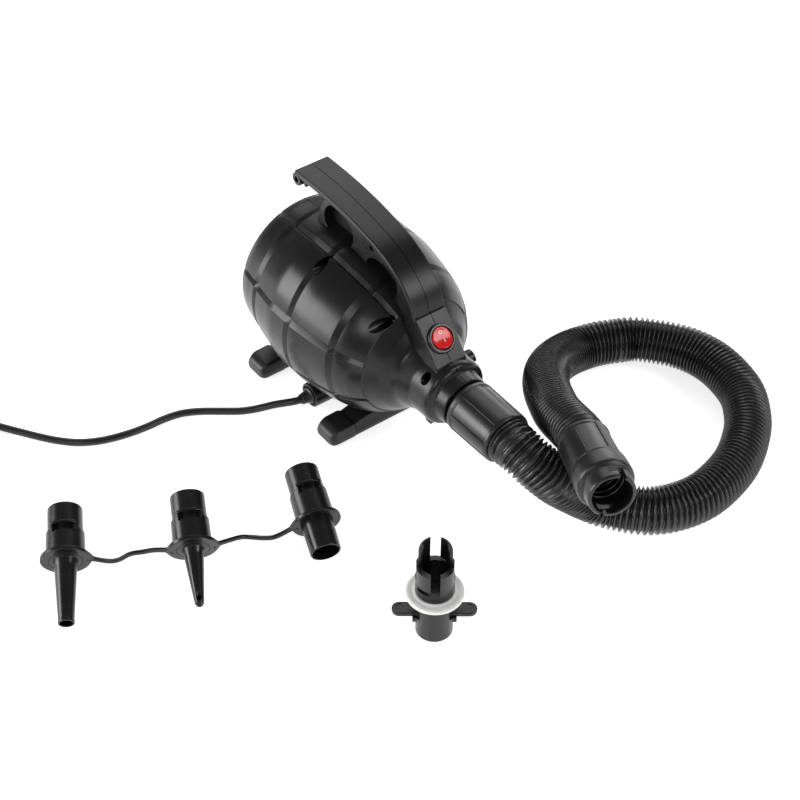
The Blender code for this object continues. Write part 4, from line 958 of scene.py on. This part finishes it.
def build_housing():
    """Both halves, from one body with its cavity, screw posts and switch room, cut along the seam."""
    xs, degs = grid_lines()
    body = skin("housing_shell", [ring_at(x, degs) for x in xs])
    drop = [(59.6, 48.0), (60.4, 41.6), (62.4, 38.8), (67.6, 38.8), (69.6, 41.6), (70.4, 48.0)]
    lug = prism("lug", soften(drop, 0.8, 3), -13.0, 13.0, 0.6)
    hook = prism("hook", [(-95.5, 173.8), (-88.4, 174.0), (-88.4, 168.2), (-89.0, 167.6), (-90.2, 167.4),
                          (-91.0, 168.4), (-91.4, 170.6), (-95.5, 170.6)], -14.0, 14.0, 0.4)
    rear = rod("rear_boss", (-98.4, -15.9, 170.4), (-98.4, 15.9, 170.4), 5.4, 56, 0.5)
    arc = [math.radians(9.0 * k) for k in range(21)]
    half_round = [(61.0 + 6.2 * math.cos(t), 79.5 + 6.4 * math.sin(t)) for t in arc]
    far = prism("far_boss", half_round, 22.0, 30.5, 0.6)
    add(body, handle_bar(), web(), wedge(), lug, rear, hook, far)
    cavity = [(-121.0, 50.4), (-114.6, 50.4), (-114.2, 55.6), (-98.0, 61.8), (-86.3, 63.3), (-58.0, 68.6),
              (-36.4, 68.0), (9.5, 59.0), (31.0, 45.4), (40.0, 38.0), (47.5, 29.8), (60.0, 25.4),
              (74.0, 22.5), (82.0, 18.0), (91.9, 17.4), (92.9, 18.2), (96.0, 18.2)]
    cut(body, turned_body("cavity", cavity))
    wells = [w for w in WELLS if w[0] < 60.0]
    posts = together(*[rod("post", (x, -62.0, z), (x, 62.0, z), r + 1.9, 40) for x, z, r in wells])
    limit = [(x, barrel_radius(x)) for x in [-112.0 + 4.0 * k for k in range(35)]]
    add(body, combine(posts, [turned_body("limit", limit, 96, 2.2)], "INTERSECT"))
    mid, normal, _ = panel_frame()
    cut(body, rod("switch_room", mid - normal * 3.2, mid - normal * 30.0, 11.6, 64),
        rod("switch_hole", mid - normal * 4.2, mid + normal * 3.0, 10.2, 64))
    left = twin(body, "housing_shell_left")
    right = body
    right.name = "housing_shell_right"
    cut(right, block("half", (-200, -SEAM, -20), (200, 120, 260), 0))
    cut(left, block("half", (-200, -120, -20), (200, SEAM, 260), 0))
    add(right, rod("gland", (GLAND_X, -26.0, GLAND_Z), (GLAND_X, -52.6, GLAND_Z), 10.2, 64, 1.0))
    holes = at_screws("well", (-9.0, -90.0), (-8.0, -30.0), None, 2.5, (48, 32))
    holes.append(rod("dish", (GLAND_X, -50.8, GLAND_Z), (GLAND_X, -56.0, GLAND_Z), 8.4, 64))
    cut(right, together(*holes))
    holes = at_screws("clear", (-12.0, 1.0), (-10.0, 1.0), 1.9, 1.5, (16, 16))
    holes.append(rod("bore", (GLAND_X, -15.0, GLAND_Z), (GLAND_X, -56.0, GLAND_Z), 5.0, 48))
    cut(right, together(*holes))
    cut(left, together(*at_screws("pilot", (-1.0, 13.0), (-1.0, 9.0), 1.9, 1.5, (16, 16))))
    piece(right, "housing_plastic", "pump", "housing_right", angle=28.0)
    piece(left, "housing_plastic", "pump", "housing_left", angle=28.0)


def build_feet():
    """Cross bars under the barrel, each with a rubber boot pushed on either end."""
    for fx, tag in zip(FOOT_X, ("front", "rear")):
        rings = []
        for y, top in ((-42.0, 11.8), (-36.0, 13.6), (-30.0, 15.0), (30.0, 15.0), (36.0, 13.6), (42.0, 11.8)):
            outline = soften([(-11.4, 0.0), (11.4, 0.0), (12.2, 4.0), (9.6, top), (-9.6, top), (-12.2, 4.0)],
                             1.6, 4)
            rings.append([(fx + x, y, z) for x, z in outline])
        bar = skin(tag + "_foot_bar", rings)
        cradle = [(x, barrel_radius(x) + 0.45) for x in [fx - 20.0 + 2.0 * k for k in range(21)]]
        cut(bar, turned_body("cradle", cradle, 120))
        add(bar, block("tongue", (fx - 5.9, -55.8, 3.1), (fx + 5.9, 55.8, 8.9), 0.5))
        piece(bar, "housing_plastic", "pump", tag + "_foot")
        for side, s in (("near", -1.0), ("far", 1.0)):
            boot = boot_solid("boot_%s_%s" % (tag, side), fx, s)
            lo, hi = sorted((s * 38.0, s * 56.5))
            cut(boot, block("pocket", (fx - 6.3, lo, 2.7), (fx + 6.3, hi, 9.3), 0))
            piece(boot, "soft_rubber", "pump", "foot_boot_%s_%s" % (tag, side), angle=40.0)


def boot_solid(name, fx, side):
    """Rubber boot on one end of a foot bar, with three grooves low on its flanks."""
    rings = []
    for y, h, g in ((42.35, 12.3, -0.3), (42.8, 12.7, 0.0), (44.6, 13.2, 0.6), (45.4, 13.3, 0.7),
                    (56.5, 12.9, 0.7), (59.0, 12.2, 0.4), (61.2, 11.2, -0.2), (62.8, 10.0, -0.9),
                    (63.8, 8.8, -1.9), (64.35, 7.7, -2.9), (64.5, 7.0, -3.9)):
        low = 0.0 if y < 63.0 else (y - 63.0) * 0.35
        outline = soften([(-11.8 - min(g, 0), low), (11.8 + min(g, 0), low), (12.6 + g, 4.0), (9.6 + g, h),
                          (-9.6 - g, h), (-12.6 - g, 4.0)], 2.2, 6)
        rings.append([(fx + x, side * y, z) for x, z in outline])
    boot = skin(name, rings)
    ribs = []
    for y in (47.5, 50.5, 53.5):
        lo, hi = sorted((side * y, side * (y + 0.7)))
        ribs.append(block("rib", (fx - 13.9, lo, 1.4), (fx + 13.9, hi, 2.1), 0))
    return cut(boot, together(*ribs))


def build_screws():
    spots = [(x, z, -11.8, 11.5, r - 0.9, 2.4, 1.6) for x, z, r in WELLS]
    spots += [(x, z, -9.8, 7.5, 2.1, 1.5, 1.2) for x, z in SMALL_WELLS]
    for n, (x, z, y0, y1, head, thick, shank) in enumerate(spots):
        ln = y1 - y0
        prof = [(0.0, 0.0), (0.0, head * 0.8), (0.5, head), (thick, head), (thick, shank), (ln - 1.6, shank),
                (ln, shank * 0.3), (ln, 0.0)]
        ob = turned("screw_%d" % (n + 1), prof, (x, y0, z), (0, 1, 0), 40, 0.25, 2)
        for w, h in ((head * 0.62, head * 0.14), (head * 0.14, head * 0.62)):
            cut(ob, block("cross", (x - w, y0 - 1.0, z - h), (x + w, y0 + thick * 0.55, z + h), 0))
        piece(ob, "zinc_steel", "pump", "housing_screw_%d" % (n + 1))


def build_grille():
    """Rear air inlet: hub, rings and cross bars in a rim that plugs the rear opening."""
    x0, x1 = -119.6, -116.6
    at = (0.0, 0.0, BARREL_Z)
    g = turned("grille", [(x0, 46.6), (x0, 50.0), (-114.8, 50.0), (-114.8, 47.4), (x1, 46.6)], at,
               (1, 0, 0), 96, 0.5)
    hub = turned("hub", [(x0 + 0.2, 0.0), (x0 + 0.2, 11.0), (x1, 11.0), (x1, 0.0)], at, (1, 0, 0), 64, 0.8)
    add(g, hub)
    for r in (23.0, 35.0):
        bar = [(x0 + 0.4, r - 1.5), (x0 + 0.4, r + 1.5), (x1 - 0.2, r + 1.5), (x1 - 0.2, r - 1.5)]
        add(g, turned("ring", bar, at, (1, 0, 0), 80, 0.5))
    for k in range(3):
        b = block("spoke", (x0 + 0.6, -48.0, -1.4), (x1 - 0.4, 48.0, 1.4), 0.4)
        moved(b, Matrix.Translation((0, 0, BARREL_Z * MM)) @ Matrix.Rotation(math.pi * (k + 0.5) / 3, 4, "X"))
        add(g, b)
    piece(g, "housing_plastic", "pump", "inlet_grille")


ROCKER_R = 8.25


def build_switch():
    """Round switch with its blades, and the red rocker with a 0 and an I."""
    mid, normal, down = panel_frame()
    prof = [(-18.0, 0.0), (-18.0, 9.6), (0.35, 9.6), (0.35, 11.5), (1.5, 11.45), (2.1, 11.1), (2.35, 10.6),
            (2.35, 9.2), (1.9, 8.85), (-5.6, 8.85), (-5.6, 0.0)]
    body = turned("switch_case", prof, mid, normal, 80, 0.3, 3)
    rot = Matrix.Translation(mid * MM) @ Matrix.Rotation(math.atan2(normal.x, normal.z), 4, "Y")
    for y in (-4.0, 4.0):
        add(body, moved(block("blade", (-2.6, y - 0.4, -25.0), (2.6, y + 0.4, -17.0), 0.15), rot))
    piece(body, "switch_black", "pump", "switch_body")
    tilt = Matrix.Rotation(-math.radians(9.0), 4, "Y")
    seat = basis(down, Vector((0, 1, 0)), normal, mid - normal * 0.4) @ tilt

    def top(u, v):
        """Height of the rocker's hollowed face."""
        return 3.0 + 0.018 * u * u - 0.004 * v * v

    def level(share):
        return [(ROCKER_R * share * c, ROCKER_R * share * s) for c, s in around(64)]

    base = ((0.0024, -2.6), (0.86, -2.6), (0.9, -2.3), (1.0, 0.6))
    rim = ((1.0, 2.2), (0.99, 2.6), (0.965, 2.85))
    face = (0.92, 0.8, 0.62, 0.42, 0.2, 0.02)
    rings = [[(x, y, h) for x, y in level(f)] for f, h in base]
    rings += [[(x, y, h + top(x, y) - 3.0) for x, y in level(f)] for f, h in rim]
    rings += [[(x, y, top(x, y)) for x, y in level(f)] for f in face]
    piece(moved(skin("rocker", rings), seat), "switch_red", "rocker", "switch_rocker", angle=50.0)

    def mark(name, *outlines):
        """Thin printed mark that follows the rocker's face, within one outline or between two."""
        high, low = ([[(u, v, top(u, v) + h) for u, v in pts] for pts in outlines] for h in (0.05, -0.12))
        ob = skin(name, high + low[::-1], loop=len(outlines) > 1)
        piece(moved(ob, seat), "print_white", "rocker", slot="switch_red", angle=20.0, weighted=False)

    mark("rocker_mark_off", *([(-4.4 + r * c, 0.1 + r * s) for c, s in around(32)] for r in (1.45, 0.85)))
    mark("rocker_mark_on", soften([(1.1, 0.45), (3.6, 0.45), (3.6, 1.05), (1.1, 1.05)], 0.12, 2))


# ---- loose fittings ----
def nozzle_profile(name, eye):
    """Outline of a nozzle: its common head, a waist for the strap's eyelet and its own tail."""
    head = [(0.0, 10.7), (0.0, 12.2), (0.8, 12.8), (20.0, 12.8), (20.5, 14.0), (eye - 1.9, 14.3),
            (eye - 1.9, 12.0), (eye + 1.5, 12.0)]
    tails = {
        "nozzle_taper": [(eye + 1.9, 9.3), (48.0, 8.2), (90.4, 5.75), (90.4, 6.0), (92.6, 5.9), (92.6, 4.7),
                         (46.0, 6.8), (38.0, 8.6), (30.0, 10.7)],
        "nozzle_pointed": [(eye + 1.9, 8.4), (48.0, 7.2), (80.0, 3.95), (85.6, 3.3), (87.4, 2.2), (87.8, 1.3),
                           (85.0, 1.6), (46.0, 5.4), (38.0, 8.6), (30.0, 10.7)],
        "nozzle_wide": [(69.8, 11.4), (70.6, 11.1), (70.6, 10.1), (38.0, 9.9), (30.0, 10.7)],
    }
    return head + tails[name]


def sector(ts, rs, degs, width):
    """Piece of a ring about X: between two distances along it, two radii and two angles from Z."""
    steps = max(2, round((degs[1] - degs[0]) / 4.0))
    rings = []
    for t in ts:
        arcs = [math.radians(degs[0] + (degs[1] - degs[0]) * k / steps) for k in range(steps + 1)]
        rings.append([(t, rs[1] * math.sin(a), rs[1] * math.cos(a)) for a in arcs]
                     + [(t, rs[0] * math.sin(a), rs[0] * math.cos(a)) for a in reversed(arcs)])
    ob = skin("sector", rings)
    return bevelled(ob, width, 2, 40.0) if width else ob


# Bar and two legs of a nozzle's arched lug: distances along the nozzle, outer radius, angles.
ARCH = (((17.4, 19.4), 16.6, (-36.0, 36.0)), ((18.0, 24.0), 15.6, (-37.0, -30.0)),
        ((18.0, 24.0), 15.6, (30.0, 37.0)))


def build_nozzles():
    """Turned nozzles, each with two lugs that arch over a pocket and two ring marks."""
    for name, (base, d, eye) in NOZZLES.items():
        ob = turned(name + "_turned", nozzle_profile(name, eye), base, d, 80, 0.4)
        extras = []
        for k in range(2):
            at = place(base, d, 180.0 * k)
            legs = [sector(ts, (11.8, r), degs, 0.5) for ts, r, degs in ARCH]
            cut(ob, moved(sector((19.0, 23.8), (11.7, 18.0), (-29.5, 29.5), 0.0), at))
            extras += [moved(leg, at) for leg in legs]
            mark = turned("mark", [(0.0, 1.5), (0.0, 2.1), (0.65, 2.1), (0.65, 1.5)], (12.2, 0.0, 12.5),
                          (0, 0, 1), 32, 0.1, 2)
            extras.append(moved(mark, at))
        if name == "nozzle_pointed":
            at = place(base, d, 0.0)
            hole = rod("hole", (76.5, 0.0, 7.0), (85.0, 0.0, 0.6), 1.9, 32)
            cut(ob, moved(hole, at))
        together(ob, *extras)
        piece(ob, "nozzle_plastic", "nozzle_set", name)


def eyelet(c, d, reach):
    """Flange of one nozzle, drawn out to a point at each strap."""
    across = Vector((0, 0, 1)).cross(d).normalized()
    outline = []
    for k in range(96):
        a = math.pi * k / 48
        bump = sum((1.0 if s * math.cos(a) > 0.0 else 0.0) * max(0.0, 1.0 - abs(math.sin(a)) / 0.5) ** 2 * 1.6
                   for s in reach)
        r = 18.3 + bump
        outline.append((r * math.cos(a), r * math.sin(a)))
    ob = skin("eyelet", [[(t, y, z) for y, z in outline] for t in (-1.45, 1.45)])
    return moved(bevelled(ob, 0.55, 3, 60.0), basis(d, across, d.cross(across), c))


def build_tether():
    """Narrow strap with three eyelets that hold the nozzles together."""
    eyes = []
    for base, d, eye in NOZZLES.values():
        d = Vector(d).normalized()
        eyes.append((Vector(base) + d * eye, d, Vector((0, 0, 1)).cross(d).normalized()))
    reach = ((1.0,), (-1.0, 1.0), (-1.0,))
    plates = [eyelet(c, d, way) for (c, d, _), way in zip(eyes, reach)]
    straps = []
    for (c0, _, y0), (c1, _, y1), sag in zip(eyes, eyes[1:], STRAP_SAG):
        line = even(spline([c0 + y0 * 15.5] + [Vector(p) for p in sag] + [c1 - y1 * 15.5], 10), 1.6)
        rings = []
        for i, p in enumerate(line):
            t = (line[min(i + 1, len(line) - 1)] - line[max(i - 1, 0)]).normalized()
            flat = t.cross(Vector((0, 0, 1))).normalized()
            up = flat.cross(t)
            end = min(i, len(line) - 1 - i) * 1.6
            wide = 1.0 + 1.1 * max(0.0, 1.0 - end / 7.0) ** 2
            outline = soften([(-1.4, -1.6 * wide), (1.4, -1.6 * wide), (1.4, 1.6 * wide),
                              (-1.4, 1.6 * wide)], 0.9, 4)
            rings.append([p + flat * x + up * z for x, z in outline])
        straps.append(skin("strap", rings))
    base = plates[0]
    add(base, straps[0], plates[1], straps[1], plates[2])
    cut(base, together(*[rod("eye", c - d * 8.0, c + d * 8.0, 12.3, 72) for c, d, _ in eyes]))
    base.name = "nozzle_strap"
    piece(base, "nozzle_plastic", "nozzle_set", "nozzle_tether")


def build_adapter():
    """Valve adapter standing on the floor, with two wings, openings at its mouth and a white washer."""
    ax, ay = ADAPTER_AT
    prof = [(0.0, 10.4), (0.0, 13.1), (0.8, 13.4), (17.0, 13.1), (35.4, 12.7), (35.4, 16.0), (37.0, 16.0),
            (37.0, 12.4), (41.0, 12.4), (41.2, 13.8), (66.4, 13.8), (67.6, 11.9), (80.8, 11.8),
            (83.0, 10.9), (83.0, 10.0), (60.0, 9.6), (40.0, 10.2)]
    body = turned("adapter_barrel", prof, (ax, ay, 0.0), (0, 0, 1), 96, 0.4)
    turn = Matrix.Translation((ax * MM, ay * MM, 0)) @ Matrix.Rotation(math.radians(VIEW_AZIMUTH), 4, "Z")
    for s in (-1, 1):
        wing = [(s * 11.4, -5.6), (s * 24.5, -5.6)]
        wing += [(s * (24.5 + 5.5 * math.sin(math.pi * k / 16)), -5.6 * math.cos(math.pi * k / 16))
                 for k in range(1, 16)]
        wing += [(s * 24.5, 5.6), (s * 11.4, 5.6)]
        paddle = bevelled(skin("wing", [[(x, y, z) for x, y in wing] for z in (18.4, 21.8)]), 0.6, 3, 50.0)
        dish = bevelled(skin("dish", [[(s * 18.0 + (x - s * 18.0) * 0.78, y * 0.72, z) for x, y in wing[1:-1]]
                                      for z in (21.3, 23.0)]), 0.0001, 1, 80.0)
        cut(paddle, dish)
        near, far = sorted((s * 12.0, s * 15.5))
        add(body, moved(paddle, turn), moved(block("tab", (near, -7.6, 15.0), (far, -3.6, 19.0), 0.3), turn))
    openings = (((-3.3, -16.0, 48.4), (3.3, -7.0, 86.0)), ((-14.0, -16.0, 48.0), (3.3, -6.4, 51.6)),
                ((-20.0, -20.0, 66.2), (20.0, -1.5, 90.0)), ((-3.5, 4.0, 60.5), (3.5, 20.0, 90.0)),
                ((3.0, 5.0, 60.5), (7.5, 20.0, 63.5)))
    for lo, hi in openings:
        cut(body, moved(block("opening", lo, hi, 0), turn))
    for s in (-1, 1):
        near, far = sorted((s * 12.9, s * 18.0))
        cut(body, moved(block("flat", (near, -9.0, 55.0), (far, 4.0, 70.0), 0.3), turn))
    piece(body, "nozzle_plastic", "adapter", "valve_adapter")
    prof = [(37.3, 12.9), (37.2, 20.3), (38.2, 20.9), (39.9, 20.6), (40.5, 19.2), (40.1, 15.6),
            (40.8, 14.4), (40.8, 13.0)]
    ring = turned("washer", prof, (ax, ay, 0.0), (0, 0, 1), 96, 0.5, 4)
    piece(ring, "white_silicone", "adapter", "adapter_washer", angle=60.0)


def dress_cad_nodes():
    """Materials and rounded edges for the CAD nodes that stay."""
    by_word = (("bearing", "steel"), ("shaft", "steel"), ("nut", "brass"), ("commutator", "copper"),
               ("armature_winding", "copper"), ("field_coil", "copper"), ("armature_core", "lamination"),
               ("stator", "lamination"), ("holder", "brass"), ("carbon", "carbon"), ("brush", "carbon"),
               ("impeller", "fan_grey"), ("shroud", "fan_grey"), ("frame", "motor_nylon"),
               ("clamp", "motor_nylon"), ("lead", "cord_pvc"), ("cuff", "connector_grey"))
    for name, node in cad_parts.items():
        mat = MATS[next((mat for key, mat in by_word if key in name), "housing_plastic")]
        slots = node.data.materials
        if not slots:
            slots.append(mat)
        for k in range(len(slots)):
            slots[k] = mat
        if node.hide_render:
            continue
        mod = node.modifiers.new("edges", "BEVEL")
        mod.width = 0.25 * MM
        mod.segments = 2
        mod.limit_method = "ANGLE"
        mod.angle_limit = math.radians(35.0)


make_camera()
build_cords()
build_cuff()
build_housing()
build_feet()
build_screws()
build_grille()
build_switch()
build_nozzles()
build_tether()
build_adapter()
dress_cad_nodes()
make_stage()
